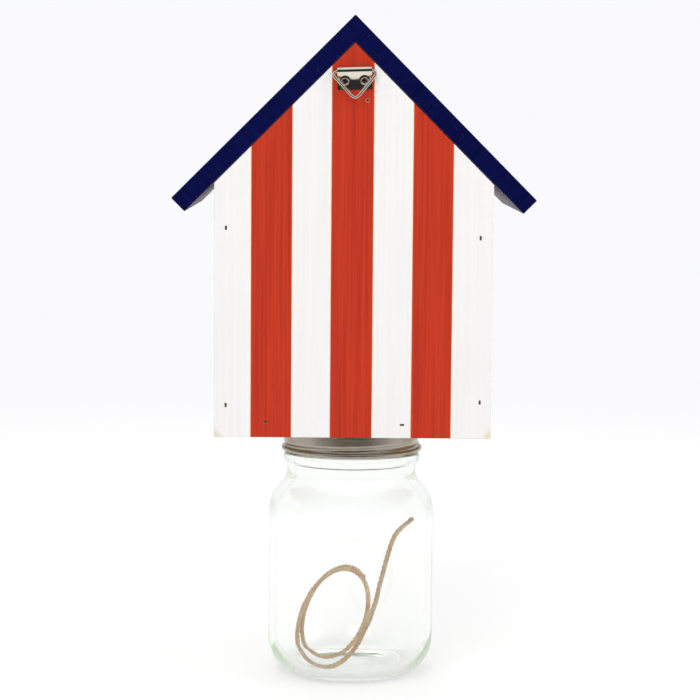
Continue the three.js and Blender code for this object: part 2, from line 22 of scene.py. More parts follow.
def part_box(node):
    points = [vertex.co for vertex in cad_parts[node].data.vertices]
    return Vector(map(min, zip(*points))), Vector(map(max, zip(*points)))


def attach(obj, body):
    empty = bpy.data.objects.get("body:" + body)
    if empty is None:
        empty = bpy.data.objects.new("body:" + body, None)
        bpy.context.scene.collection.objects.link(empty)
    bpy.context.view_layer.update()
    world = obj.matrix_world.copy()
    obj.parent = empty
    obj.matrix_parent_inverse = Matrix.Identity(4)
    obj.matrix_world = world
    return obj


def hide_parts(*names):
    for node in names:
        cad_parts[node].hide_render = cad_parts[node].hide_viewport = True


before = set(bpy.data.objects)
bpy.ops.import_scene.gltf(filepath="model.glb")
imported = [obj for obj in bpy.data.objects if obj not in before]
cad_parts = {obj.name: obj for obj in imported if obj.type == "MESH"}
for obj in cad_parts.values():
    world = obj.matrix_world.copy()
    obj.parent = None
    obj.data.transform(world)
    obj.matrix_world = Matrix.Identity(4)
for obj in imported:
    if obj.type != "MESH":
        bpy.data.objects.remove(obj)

LOG = logging.getLogger("bee_trap")
MM = 0.001
FULL_TURN = 2 * math.pi
PHOTO_SIDE_PX = 700

Colour = tuple[float, float, float]
Point = tuple[float, float, float]
Pair = tuple[float, float]
Row = tuple[float, float]
MarkedRow = tuple[float, float, bool]
Station = tuple[Vector, Vector, Vector]
Reach = Callable[[float, int], float]

# The jar's axis lies this far behind the middle of the whole outline
JAR_AXIS_BACK = -22.54469 * MM
# The glass of the jar's floor is this high
JAR_FLOOR = 3.4 * MM
# Smooth noise keeps mostly between these two values
NOISE_SPAN: Pair = (0.2, 0.8)


def srgb(red: int, green: int, blue: int) -> Colour:
    """Turns a colour as a screen shows it into the linear values that shaders take."""
    shares = (red / 255, green / 255, blue / 255)
    return tuple(c / 12.92 if c <= 0.04045 else ((c + 0.055) / 1.055) ** 2.4 for c in shares)


class Axis(Enum):
    """The way that a board's grain runs."""

    UPRIGHT = "upright"
    LEVEL = "level"
    DOWN_LEFT_SLOPE = "down_left_slope"
    DOWN_RIGHT_SLOPE = "down_right_slope"


class Side(Enum):
    """Which side of the house a board is on."""

    LEFT = -1
    RIGHT = 1


class Graph:
    """The nodes of a material or of the world, wired by short calls."""

    def __init__(self, tree: bpy.types.NodeTree) -> None:
        """Empties a node tree and keeps it.

        Args:
            tree: The node tree to wire.
        """
        self.tree = tree
        self.tree.nodes.clear()

    def add(self, kind: str, inputs: dict | None = None, **settings: object) -> bpy.types.Node:
        """Adds a node.

        Args:
            kind: The node's type name.
            inputs: Values or sockets by the name or number of the input that they feed.
            settings: The node's own settings.

        Returns:
            The new node.
        """
        node = self.tree.nodes.new(kind)
        for name, value in settings.items():
            setattr(node, name, value)
        for name, value in (inputs or {}).items():
            self.feed(node.inputs[name], value)
        return node

    def feed(self, socket: bpy.types.NodeSocket, value: object) -> None:
        """Links a socket, or gives it a plain value.

        Args:
            socket: The input to feed.
            value: Another node's output, or a number, vector or colour.
        """
        if isinstance(value, bpy.types.NodeSocket):
            self.tree.links.new(value, socket)
        elif isinstance(value, tuple) and len(value) == 3 and socket.type == "RGBA":
            socket.default_value = (*value, 1)
        else:
            socket.default_value = value

    def math(self, operation: str, first: object, second: object = 0.0) -> bpy.types.NodeSocket:
        """One step of arithmetic on two numbers."""
        return self.add("ShaderNodeMath", {0: first, 1: second}, operation=operation).outputs[0]

    def times(self, first: object, second: object) -> bpy.types.NodeSocket:
        """One number times another."""
        return self.math("MULTIPLY", first, second)

    def plus(self, first: object, second: object) -> bpy.types.NodeSocket:
        """One number added to another."""
        return self.math("ADD", first, second)

    def minus(self, first: object, second: object) -> bpy.types.NodeSocket:
        """The first number less the second."""
        return self.math("SUBTRACT", first, second)

    def largest(self, first: object, second: object) -> bpy.types.NodeSocket:
        """The larger of two numbers."""
        return self.math("MAXIMUM", first, second)

    def size(self, value: object) -> bpy.types.NodeSocket:
        """A number without its sign."""
        return self.math("ABSOLUTE", value)

    def blend(self, first: object, second: object, share: float) -> bpy.types.NodeSocket:
        """Mixes two numbers by a share of the second."""
        return self.plus(self.times(first, 1 - share), self.times(second, share))

    def mix(self, share: object, first: object, second: object) -> bpy.types.NodeSocket:
        """Mixes two colours by a share of the second.

        Args:
            share: The second colour's share, from 0 to 1.
            first: The colour at a share of 0.
            second: The colour at a share of 1.

        Returns:
            The mixed colour.
        """
        node = self.add("ShaderNodeMix", data_type="RGBA")
        self.feed(node.inputs[0], share)
        self.feed(node.inputs[6], first)
        self.feed(node.inputs[7], second)
        return node.outputs[2]

    def place(self) -> bpy.types.NodeSocket:
        """The place on the object, in metres, which moves with the piece."""
        return self.add("ShaderNodeTexCoord").outputs["Object"]

    def split(self, vector: bpy.types.NodeSocket) -> tuple[bpy.types.NodeSocket, ...]:
        """The three parts of a vector."""
        return tuple(self.add("ShaderNodeSeparateXYZ", {0: vector}).outputs)

    def stretched(self, vector: object, scale: Point) -> bpy.types.NodeSocket:
        """A place multiplied axis by axis."""
        return self.add("ShaderNodeVectorMath", {0: vector, 1: scale}, operation="MULTIPLY").outputs[0]

    def noise(
        self, vector: object, scale: float, detail: float = 4, rough: float = 0.5
    ) -> bpy.types.NodeSocket:
        """Smooth noise from 0 to 1."""
        inputs = {"Vector": vector, "Scale": scale, "Detail": detail, "Roughness": rough}
        return self.add("ShaderNodeTexNoise", inputs).outputs[0]

    def between(
        self, value: object, low: float, high: float, to_low: float = 0, to_high: float = 1
    ) -> bpy.types.NodeSocket:
        """A value eased from one range into another and held at its ends.

        Args:
            value: The value to ease.
            low: Where the first range starts.
            high: Where it ends.
            to_low: What the start becomes.
            to_high: What the end becomes.

        Returns:
            The eased value.
        """
        inputs = {0: value, 1: low, 2: high, 3: to_low, 4: to_high}
        node = self.add("ShaderNodeMapRange", inputs, interpolation_type="SMOOTHSTEP", clamp=True)
        return node.outputs[0]

    def bump(self, height: object, distance: float, strength: float = 1.0) -> bpy.types.NodeSocket:
        """A surface normal tilted by a height."""
        inputs = {"Height": height, "Distance": distance, "Strength": strength}
        return self.add("ShaderNodeBump", inputs).outputs[0]

    def surface(self, **inputs: object) -> bpy.types.Node:
        """Ends a material in a Principled shader.

        Args:
            inputs: The shader's inputs, with their names in lower case and underscores for spaces.

        Returns:
            The output node.
        """
        shader = self.add("ShaderNodeBsdfPrincipled")
        names = {socket.name.lower().replace(" ", "_"): socket for socket in shader.inputs}
        for name, value in inputs.items():
            self.feed(names[name], value)
        return self.add("ShaderNodeOutputMaterial", {"Surface": shader.outputs[0]})


def new_material(name: str) -> tuple[bpy.types.Material, Graph]:
    """A material and its empty graph.

    Args:
        name: The material's name.

    Returns:
        The material and the graph.
    """
    material = bpy.data.materials.new(name)
    material.use_nodes = True
    return material, Graph(material.node_tree)


def wood_grain(
    graph: Graph, place: object, axis: Axis, across: float, along: float
) -> bpy.types.NodeSocket:
    """Fine streaks that run with a board's grain.

    Args:
        graph: The material's nodes.
        place: The place on the board.
        axis: The way the grain runs.
        across: Streaks per metre across the grain.
        along: Streaks per metre along the grain.

    Returns:
        A value from 0 to 1.
    """
    turns = {Axis.DOWN_LEFT_SLOPE: -math.pi / 4, Axis.DOWN_RIGHT_SLOPE: math.pi / 4}
    if axis in turns:
        inputs = {"Vector": place, "Angle": turns[axis]}
        place = graph.add("ShaderNodeVectorRotate", inputs, rotation_type="Y_AXIS").outputs[0]
    scale = (across, across, along) if axis is Axis.UPRIGHT else (along, across, across)
    return graph.noise(graph.stretched(place, scale), 1, detail=5, rough=0.6)


def past_glass(graph: Graph, ray: object) -> bpy.types.NodeSocket:
    """One for a ray that has come through glass and met nothing dull on its way.

    Args:
        graph: The nodes that ask.
        ray: The outputs of a Light Path node.

    Returns:
        One or zero.
    """
    through = graph.math("GREATER_THAN", ray["Transmission Depth"], 0.5)
    return graph.times(through, graph.math("LESS_THAN", ray["Diffuse Depth"], 0.5))


@dataclass(frozen=True)
class Paint:
    """House paint on wood, thin enough for the grain to show."""

    name: str
    colour: Colour
    shade: Colour
    axis: Axis = Axis.UPRIGHT
    roughness: float = 0.5
    smoother: float = 0.06
    rougher: float = 0.08
    gloss: float = 0.3
    grain_across: float = 700
    grain_along: float = 9
    grain_depth: float = 0.04 * MM
    cloud_scale: float = 35
    cloud_share: float = 0.25
    shade_span: Pair = (0.34, 0.66)
    speck: Colour = (0.5, 0.4, 0.25)
    speck_share: float = 0.0
    speck_rim: float = 0.8
    speck_scale: float = 900
    speck_strength: float = 0.6

    def tint(self, graph: Graph, place: object, streaks: object) -> bpy.types.NodeSocket:
        """The paint's colour at a place.

        Args:
            graph: The material's nodes.
            place: The place on the board.
            streaks: The grain's streaks, from 0 to 1.

        Returns:
            The colour.
        """
        clouds = graph.noise(place, self.cloud_scale, detail=3)
        shade = graph.blend(streaks, clouds, self.cloud_share)
        return graph.mix(graph.between(shade, *self.shade_span), self.shade, self.colour)

    def specks(self, graph: Graph, place: object) -> bpy.types.NodeSocket:
        """How far the paint's specks show at a place.

        Args:
            graph: The material's nodes.
            place: The place on the board.

        Returns:
            A share from 0 to 1.
        """
        dots = graph.noise(place, self.speck_scale, detail=1)
        shown = graph.between(dots, 1 - self.speck_share, 1 - self.speck_rim * self.speck_share)
        return graph.times(shown, self.speck_strength)

    def material(self) -> bpy.types.Material:
        """Builds the paint's material.

        Returns:
            The material.
        """
        material, graph = new_material(self.name)
        place = graph.place()
        streaks = wood_grain(graph, place, self.axis, self.grain_across, self.grain_along)
        colour = self.tint(graph, place, streaks)
        if self.speck_share:
            colour = graph.mix(self.specks(graph, place), colour, self.speck)
        smoothest, roughest = self.roughness - self.smoother, self.roughness + self.rougher
        graph.surface(
            base_color=colour,
            roughness=graph.between(streaks, *NOISE_SPAN, smoothest, roughest),
            normal=graph.bump(streaks, self.grain_depth),
            specular_ior_level=self.gloss,
        )
        return material


@dataclass(frozen=True)
class StripedPaint(Paint):
    """White paint with upright stripes, measured from the board's left edge."""

    stripe: Colour = srgb(203, 53, 18)
    stripe_shade: Colour = srgb(180, 40, 14)
    stripe_span: Pair = (0.3, 0.7)
    fringe: Colour = srgb(232, 142, 66)
    fringe_width: float = 0.42 * MM
    fringe_strength: float = 0.8
    left_edge: float = -69.85 * MM
    bottom_edge: float = 129.7 * MM
    stripe_edges: tuple[Pair, ...] = (
        (18.5 * MM, 38.9 * MM),
        (58.5 * MM, 79.5 * MM),
        (99.3 * MM, 119.4 * MM),
    )
    waver: float = 0.22 * MM
    waver_scale: float = 60
    softness: float = 0.07 * MM
    stain: Colour = srgb(226, 219, 190)
    worn_width: float = 1.1 * MM
    worn_scale: float = 260
    worn_span: Pair = (0.5, 0.68)
    worn_strength: float = 0.3
    corner_width: float = 4.5 * MM
    corner_scale: float = 300
    corner_strength: float = 0.85
    splinter: Colour = srgb(204, 122, 104)
    splintered: Pair | None = None
    splinter_reach: float = 1.55 * MM
    splinter_scale: float = 1500
    splinter_ragged: float = 0.7 * MM
    splinter_softness: float = 0.25 * MM
    splinter_strength: float = 0.9

    def tint(self, graph: Graph, place: object, streaks: object) -> bpy.types.NodeSocket:
        """White or striped, with a warm fringe where the two meet and stains along the board's edges.

        Args:
            graph: The material's nodes.
            place: The place on the board.
            streaks: The grain's streaks, from 0 to 1.

        Returns:
            The colour.
        """
        white = super().tint(graph, place, streaks)
        across, _, up = graph.split(place)
        drift = graph.noise(graph.stretched(place, (1, 1, self.waver_scale)), 1, detail=3)
        across = graph.plus(across, graph.times(graph.minus(drift, 0.5), self.waver))
        outside = self.outside_stripes(graph, across)
        worn = self.worn(graph, place, across, up, white)
        red = graph.mix(graph.between(streaks, *self.stripe_span), self.stripe_shade, self.stripe)
        painted = graph.mix(graph.between(outside, self.softness, -self.softness), worn, red)
        fringed = graph.between(graph.size(outside), self.fringe_width, 0)
        painted = graph.mix(graph.times(fringed, self.fringe_strength), painted, self.fringe)
        return self.round_hole(graph, place, painted) if self.splintered else painted

    def outside_stripes(self, graph: Graph, across: object) -> object:
        """How far a place lies outside the nearest stripe, less than zero inside one.

        Args:
            graph: The material's nodes.
            across: The place's distance across the board from its middle.

        Returns:
            The distance.
        """
        outside = 1.0
        for low, high in self.stripe_edges:
            middle = self.left_edge + (low + high) / 2
            away = graph.size(graph.minus(across, middle))
            outside = graph.math("MINIMUM", outside, graph.minus(away, (high - low) / 2))
        return outside

    def worn(
        self, graph: Graph, place: object, across: object, up: object, white: object
    ) -> bpy.types.NodeSocket:
        """White paint, stained in patches along the board's edges and over its lower corners.

        Args:
            graph: The material's nodes.
            place: The place on the board.
            across: Its distance across the board from the middle.
            up: Its height.
            white: The clean paint's colour.

        Returns:
            The colour.
        """
        side = graph.plus(graph.size(across), self.left_edge)
        foot = graph.minus(self.bottom_edge, up)
        rim = graph.between(graph.largest(side, foot), -self.worn_width, 0)
        patchy = graph.between(graph.noise(place, self.worn_scale, detail=5), *self.worn_span)
        stained = graph.mix(graph.times(graph.times(rim, patchy), self.worn_strength), white, self.stain)
        ragged = graph.times(graph.noise(place, self.corner_scale, detail=3), self.corner_width)
        corner = graph.between(graph.plus(graph.plus(side, foot), ragged), -self.corner_width, 0)
        return graph.mix(graph.times(corner, self.corner_strength), stained, self.stain)

    def round_hole(self, graph: Graph, place: object, painted: object) -> bpy.types.NodeSocket:
        """Paint that has splintered off in a ragged ring round a hole.

        Args:
            graph: The material's nodes.
            place: The place on the board.
            painted: The paint's colour.

        Returns:
            The colour.
        """
        flat = graph.stretched(place, (1, 0, 1))
        middle = (self.splintered[0], 0, self.splintered[1])
        away = graph.add("ShaderNodeVectorMath", {0: flat, 1: middle}, operation="DISTANCE").outputs["Value"]
        ragged = graph.times(graph.noise(place, self.splinter_scale, detail=3), self.splinter_ragged)
        core = self.splinter_reach - self.splinter_softness
        bare = graph.between(graph.plus(away, ragged), self.splinter_reach, core)
        return graph.mix(graph.times(bare, self.splinter_strength), painted, self.splinter)


@dataclass(frozen=True)
class BareWood:
    """Bare softwood with soft growth lines."""

    name: str = "bare_wood"
    pale: Colour = srgb(224, 196, 150)
    dark: Colour = srgb(178, 138, 88)
    axis: Axis = Axis.UPRIGHT
    line_scale: Pair = (220, 6)
    pore_scale: Pair = (1600, 30)
    pore_share: float = 0.35
    tone_span: Pair = (0.3, 0.7)
    roughness: Pair = (0.66, 0.85)
    relief: float = 0.15 * MM

    def material(self) -> bpy.types.Material:
        """Builds the wood's material.

        Returns:
            The material.
        """
        material, graph = new_material(self.name)
        place = graph.place()
        lines = wood_grain(graph, place, self.axis, *self.line_scale)
        pores = wood_grain(graph, place, self.axis, *self.pore_scale)
        both = graph.blend(lines, pores, self.pore_share)
        graph.surface(
            base_color=graph.mix(graph.between(both, *self.tone_span), self.dark, self.pale),
            roughness=graph.between(pores, 0, 1, *self.roughness),
            normal=graph.bump(both, self.relief),
        )
        return material


@dataclass(frozen=True)
class Metal:
    """Plated or bare metal, with faint streaks and worn patches."""

    name: str
    colour: Colour
    tarnish: Colour
    roughness: float = 0.3
    smoothest: float = 0.8
    roughest: float = 1.25
    streaks: Point = (300, 300, 300)
    patch_scale: float = 90
    patch_low: float = 0.45
    patch_high: float = 0.75
    relief: float = 0.01 * MM

    def material(self) -> bpy.types.Material:
        """Builds the metal's material.

        Returns:
            The material.
        """
        material, graph = new_material(self.name)
        place = graph.place()
        fine = graph.noise(graph.stretched(place, self.streaks), 1, detail=4)
        patches = graph.noise(place, self.patch_scale, detail=4)
        tarnished = graph.between(patches, self.patch_low, self.patch_high)
        low, high = self.roughness * self.smoothest, self.roughness * self.roughest
        graph.surface(
            base_color=graph.mix(tarnished, self.colour, self.tarnish),
            metallic=1.0,
            roughness=graph.between(fine, *NOISE_SPAN, low, high),
            normal=graph.bump(fine, self.relief),
        )
        return material


@dataclass(frozen=True)
class ClearGlass:
    """Soda-lime glass, greenish where it is thick, and greyed by painted shade where it is seen edge on."""

    name: str = "clear_glass"
    tint: Colour = (1.0, 1.0, 1.0)
    # Painted shade for the glass where it is seen edge on
    painted_edge_shade: Colour = (0.46, 0.49, 0.46)
    grazed_from: float = 0.74
    through: Colour = (0.67, 0.77, 0.61)
    density: float = 24
    index: float = 1.5
    ripple_scale: float = 55
    ripple_depth: float = 0.12 * MM
    ripple_strength: float = 0.6

    def material(self) -> bpy.types.Material:
        """Builds the glass's material.

        Returns:
            The material.
        """
        material, graph = new_material(self.name)
        ripple = graph.noise(graph.place(), self.ripple_scale, detail=2)
        facing = graph.add("ShaderNodeLayerWeight", {"Blend": 0.5}).outputs["Facing"]
        output = graph.surface(
            # Painted shade: the colour greys towards the outline, where the glass is seen edge on
            base_color=graph.mix(graph.between(facing, self.grazed_from, 1.0), self.tint, self.painted_edge_shade),
            roughness=0.0,
            ior=self.index,
            transmission_weight=1.0,
            normal=graph.bump(ripple, self.ripple_depth, self.ripple_strength),
        )
        inputs = {"Color": self.through, "Density": self.density}
        absorbing = graph.add("ShaderNodeVolumeAbsorption", inputs)
        graph.feed(output.inputs["Volume"], absorbing.outputs[0])
        return material


@dataclass(frozen=True)
class Jute:
    """Dry jute yarn, its fibres lighter and darker."""

    name: str = "jute"
    pale: Colour = srgb(255, 234, 193)
    dark: Colour = srgb(228, 185, 136)
    fibre_scale: float = 2600
    patch_scale: float = 140
    patch_share: float = 0.4
    tone_span: Pair = (0.36, 0.64)
    roughness: Pair = (0.8, 0.95)
    sheen: float = 0.25
    relief: float = 0.12 * MM

    def material(self) -> bpy.types.Material:
        """Builds the yarn's material.

        Returns:
            The material.
        """
        material, graph = new_material(self.name)
        place = graph.place()
        fibres = graph.noise(place, self.fibre_scale, detail=4, rough=0.7)
        patches = graph.noise(place, self.patch_scale, detail=3)
        both = graph.blend(fibres, patches, self.patch_share)
        graph.surface(
            base_color=graph.mix(graph.between(both, *self.tone_span), self.dark, self.pale),
            roughness=graph.between(fibres, 0, 1, *self.roughness),
            sheen_weight=self.sheen,
            normal=graph.bump(fibres, self.relief),
        )
        return material


def make_object(name: str, mesh: bpy.types.Mesh, materials: Sequence[bpy.types.Material]) -> bpy.types.Object:
    """Links a mesh into the scene as a piece with its materials.

    Args:
        name: The piece's name.
        mesh: Its mesh.
        materials: Its materials, in the order that its faces number them.

    Returns:
        The piece.
    """
    for material in materials:
        mesh.materials.append(material)
    piece = bpy.data.objects.new(name, mesh)
    bpy.context.scene.collection.objects.link(piece)
    return piece


def mesh_from(name: str, corners: Sequence[Point], faces: Sequence[Sequence[int]]) -> bpy.types.Mesh:
    """A mesh whose faces point outwards.

    Args:
        name: The mesh's name.
        corners: The places of its corners.
        faces: The corners' numbers round each face.

    Returns:
        The mesh.
    """
    mesh = bpy.data.meshes.new(name)
    mesh.from_pydata([tuple(corner) for corner in corners], [], [tuple(face) for face in faces])
    shape = bmesh.new()
    shape.from_mesh(mesh)
    bmesh.ops.recalc_face_normals(shape, faces=shape.faces)
    shape.to_mesh(mesh)
    shape.free()
    return mesh


def smooth(piece: bpy.types.Object, angle: float = math.radians(35)) -> bpy.types.Object:
    """Shades a piece smoothly, apart from edges sharper than an angle.

    Args:
        piece: The piece.
        angle: The angle.

    Returns:
        The same piece.
    """
    mesh = piece.data
    mesh.polygons.foreach_set("use_smooth", [True] * len(mesh.polygons))
    mesh.set_sharp_from_angle(angle=angle)
    return piece


def apply_modifiers(piece: bpy.types.Object) -> None:
    """Turns a piece's modifiers into its mesh.

    Args:
        piece: The piece.
    """
    bpy.context.view_layer.update()
    shown = piece.evaluated_get(bpy.context.evaluated_depsgraph_get())
    mesh = bpy.data.meshes.new_from_object(shown)
    old = piece.data
    piece.modifiers.clear()
    piece.data = mesh
    bpy.data.meshes.remove(old)


def settle_normals(piece: bpy.types.Object) -> bpy.types.Object:
    """Keeps a smoothly shaded piece's broad faces flat, so that only its eased edges turn.

    Args:
        piece: The piece.

    Returns:
        The same piece.
    """
    modifier = piece.modifiers.new("settle", "WEIGHTED_NORMAL")
    modifier.mode = "FACE_AREA"
    modifier.weight = 100
    modifier.keep_sharp = True
    apply_modifiers(piece)
    return piece


def cut(piece: bpy.types.Object, cutters: Iterable[bpy.types.Object]) -> None:
    """Cuts other objects out of a piece and removes them.

    Args:
        piece: The piece.
        cutters: The objects to cut out.
    """
    tools = list(cutters)
    for tool in tools:
        modifier = piece.modifiers.new("cut", "BOOLEAN")
        modifier.object = tool
        modifier.operation = "DIFFERENCE"
        modifier.solver = "EXACT"
    apply_modifiers(piece)
    for tool in tools:
        bpy.data.objects.remove(tool)


def ease_edges(piece: bpy.types.Object, width: float, angle: float = math.radians(40)) -> None:
    """Rounds off a piece's sharp edges.

    Args:
        piece: The piece.
        width: How much of each edge goes.
        angle: The least angle of an edge that is rounded.
    """
    modifier = piece.modifiers.new("ease", "BEVEL")
    modifier.width = width
    modifier.segments = 2
    modifier.limit_method = "ANGLE"
    modifier.angle_limit = angle
    apply_modifiers(piece)


def strip_faces(base: int, rings: int, sides: int) -> list[tuple[int, ...]]:
    """The faces of a capped tube whose rings follow each other in the list of corners.

    Args:
        base: The number of the first ring's first corner.
        rings: How many rings the tube has.
        sides: Corners in each ring.

    Returns:
        The corners' numbers round each face.
    """
    faces: list[tuple[int, ...]] = []
    for i in range(rings - 1):
        low, high = base + i * sides, base + (i + 1) * sides
        for j in range(sides):
            after = (j + 1) % sides
            faces.append((low + j, low + after, high + after, high + j))
    faces.append(tuple(base + j for j in range(sides)))
    faces.append(tuple(base + (rings - 1) * sides + j for j in range(sides)))
    return faces


def carried_frames(line: Sequence[Vector], side: Vector) -> list[Station]:
    """Each point of a line with two directions square to it, carried along without twist.

    Args:
        line: The points of the line.
        side: Roughly the first direction at the line's start.

    Returns:
        Each point, its first direction and its second.
    """
    frames: list[Station] = []
    for i, point in enumerate(line):
        along = (line[min(i + 1, len(line) - 1)] - line[max(i - 1, 0)]).normalized()
        side = (side - along * side.dot(along)).normalized()
        frames.append((point, side, along.cross(side)))
    return frames


def through(points: Sequence[Vector], steps: int) -> list[Vector]:
    """A smooth centripetal curve through points.

    Args:
        points: The points that it passes.
        steps: Steps from each point to the next.

    Returns:
        The points of the curve.
    """
    least = 1e-6
    ends = [points[0] * 2 - points[1], *points, points[-1] * 2 - points[-2]]
    curve: list[Vector] = []
    for i in range(1, len(ends) - 2):
        a, b, c, d = ends[i - 1 : i + 3]
        first = max((b - a).length ** 0.5, least)
        second = max((c - b).length ** 0.5, least)
        third = max((d - c).length ** 0.5, least)
        leave = ((b - a) / first - (c - a) / (first + second) + (c - b) / second) * second
        arrive = ((c - b) / second - (d - b) / (second + third) + (d - c) / third) * second
        for j in range(steps):
            t = j / steps
            curve.append(
                b * (2 * t**3 - 3 * t**2 + 1)
                + leave * (t**3 - 2 * t**2 + t)
                + c * (3 * t**2 - 2 * t**3)
                + arrive * (t**3 - t**2)
            )
    curve.append(points[-1].copy())
    return curve


def even_steps(line: Sequence[Vector], step: float) -> list[Vector]:
    """Points an even distance apart along a line.

    Args:
        line: The points of the line.
        step: The distance, which is rounded to fit the line's length.

    Returns:
        The even points.
    """
    lengths = [0.0]
    for before, after in zip(line, line[1:]):
        lengths.append(lengths[-1] + (after - before).length)
    count = max(2, round(lengths[-1] / step))
    points: list[Vector] = []
    i = 0
    for n in range(count + 1):
        goal = lengths[-1] * n / count
        while i < len(line) - 2 and lengths[i + 1] < goal:
            i += 1
        span = lengths[i + 1] - lengths[i]
        points.append(line[i].lerp(line[i + 1], (goal - lengths[i]) / span if span else 0))
    return points


def turned_mesh(
    name: str, rows: Sequence[Row], segments: int, closed: bool = False, reach: Reach | None = None
) -> bpy.types.Mesh:
    """A body turned about the Z axis.

    Args:
        name: The mesh's name.
        rows: Radius and height of each row, from one end of the profile to the other.
        segments: Faces round the axis.
        closed: Whether the profile closes on itself. Otherwise its ends are capped.
        reach: How far a row is moved out, from the angle about the axis and the row's number.

    Returns:
        The mesh.
    """
    corners: list[Point] = []
    for number, (radius, height) in enumerate(rows):
        for i in range(segments):
            angle = FULL_TURN * i / segments
            out = radius + (reach(angle, number) if reach else 0)
            corners.append((out * math.cos(angle), out * math.sin(angle), height))
    if not closed:
        return mesh_from(name, corners, strip_faces(0, len(rows), segments))
    faces: list[tuple[int, ...]] = []
    for band in range(len(rows)):
        above = (band + 1) % len(rows) * segments
        for i in range(segments):
            after = (i + 1) % segments
            faces.append((band * segments + i, band * segments + after, above + after, above + i))
    return mesh_from(name, corners, faces)


def tube_mesh(name: str, line: Sequence[Vector], radius: float, sides: int) -> bpy.types.Mesh:
    """A capped tube along a line of points, with a section that doesn't twist.

    Args:
        name: The mesh's name.
        line: The points of the middle line.
        radius: The tube's radius.
        sides: Faces round the tube.

    Returns:
        The mesh.
    """
    corners: list[Vector] = []
    for point, side, other in carried_frames(line, Vector((0, 0, 1))):
        for j in range(sides):
            angle = FULL_TURN * j / sides
            corners.append(point + side * (radius * math.cos(angle)) + other * (radius * math.sin(angle)))
    return mesh_from(name, corners, strip_faces(0, len(line), sides))


def quarter_arc(radius: float, height: float, across: float, up: float, steps: int) -> list[Row]:
    """Rows on an elliptical quarter, from the foot of the arc to its side."""
    angles = [math.pi / 2 * i / steps for i in range(steps + 1)]
    return [(radius + across * math.sin(angle), height - up * math.cos(angle)) for angle in angles]


def cylinder(radius: float, low: Point, high: Point, sides: int = 64) -> bpy.types.Object:
    """A round cutter between two points.

    Args:
        radius: The cutter's radius.
        low: The middle of one end.
        high: The middle of the other.
        sides: Faces round it.

    Returns:
        The cutter.
    """
    start, end = Vector(low), Vector(high)
    mesh = turned_mesh("cutter", [(radius, 0), (radius, (end - start).length)], sides)
    mesh.transform((end - start).to_track_quat("Z", "Y").to_matrix().to_4x4())
    mesh.transform(Matrix.Translation(start))
    return make_object("cutter", mesh, [])


def dress(node: bpy.types.Object, material: bpy.types.Material) -> None:
    """Gives a carried piece its material."""
    node.data.materials.clear()
    node.data.materials.append(material)


def report(piece: bpy.types.Object, words: str) -> bpy.types.Object:
    """Logs a piece as it is made.

    Args:
        piece: The piece.
        words: What it is.

    Returns:
        The same piece.
    """
    faces = len(piece.data.polygons) if piece.type == "MESH" else 0
    LOG.info("%s: %s, %d faces", piece.name, words, faces)
    return piece


@dataclass
class Viewpoint:
    """The photographer's camera."""

    place: Point = (-8.065 * MM, -1166.9947 * MM, 289.12 * MM)
    yaw: float = 0.006
    pitch: float = 0.104
    roll: float = 0.008
    focal_length_px: float = 2200.3
    sensor_width_mm: float = 36
    nearest: float = 10 * MM
    farthest: float = 50

    def build(self) -> bpy.types.Object:
        """Makes the camera and gives it to the scene.

        Returns:
            The camera.
        """
        level = math.cos(self.pitch)
        forward = Vector((math.sin(self.yaw) * level, math.cos(self.yaw) * level, -math.sin(self.pitch)))
        right = Vector((math.cos(self.yaw), -math.sin(self.yaw), 0))
        upward = right.cross(forward)
        rolled_right = right * math.cos(self.roll) + upward * math.sin(self.roll)
        rolled_up = upward * math.cos(self.roll) - right * math.sin(self.roll)
        turn = Matrix((rolled_right, rolled_up, -forward)).transposed().to_4x4()
        lens = bpy.data.cameras.new("camera")
        lens.sensor_fit = "HORIZONTAL"
        lens.sensor_width = self.sensor_width_mm
        lens.lens = self.focal_length_px / PHOTO_SIDE_PX * self.sensor_width_mm
        lens.clip_start = self.nearest
        lens.clip_end = self.farthest
        camera = bpy.data.objects.new("camera", lens)
        bpy.context.scene.collection.objects.link(camera)
        camera.matrix_world = Matrix.Translation(Vector(self.place)) @ turn
        bpy.context.scene.camera = camera
        return camera


@dataclass(frozen=True)
class Lamp:
    """A soft square lamp that lights the object without showing in the view or in metal."""

    name: str
    place: Point
    width: float
    power: float

    def build(self, target: Point) -> bpy.types.Object:
        """Hangs the lamp.

        Args:
            target: Where it is aimed.

        Returns:
            The lamp.
        """
        light = bpy.data.lights.new(self.name, "AREA")
        light.size = self.width
        light.energy = self.power
        lamp = bpy.data.objects.new(self.name, light)
        lamp.location = self.place
        aim = Vector(target) - Vector(self.place)
        lamp.rotation_euler = aim.to_track_quat("-Z", "Y").to_euler()
        lamp.visible_camera = False
        lamp.visible_glossy = False
        bpy.context.scene.collection.objects.link(lamp)
        return lamp


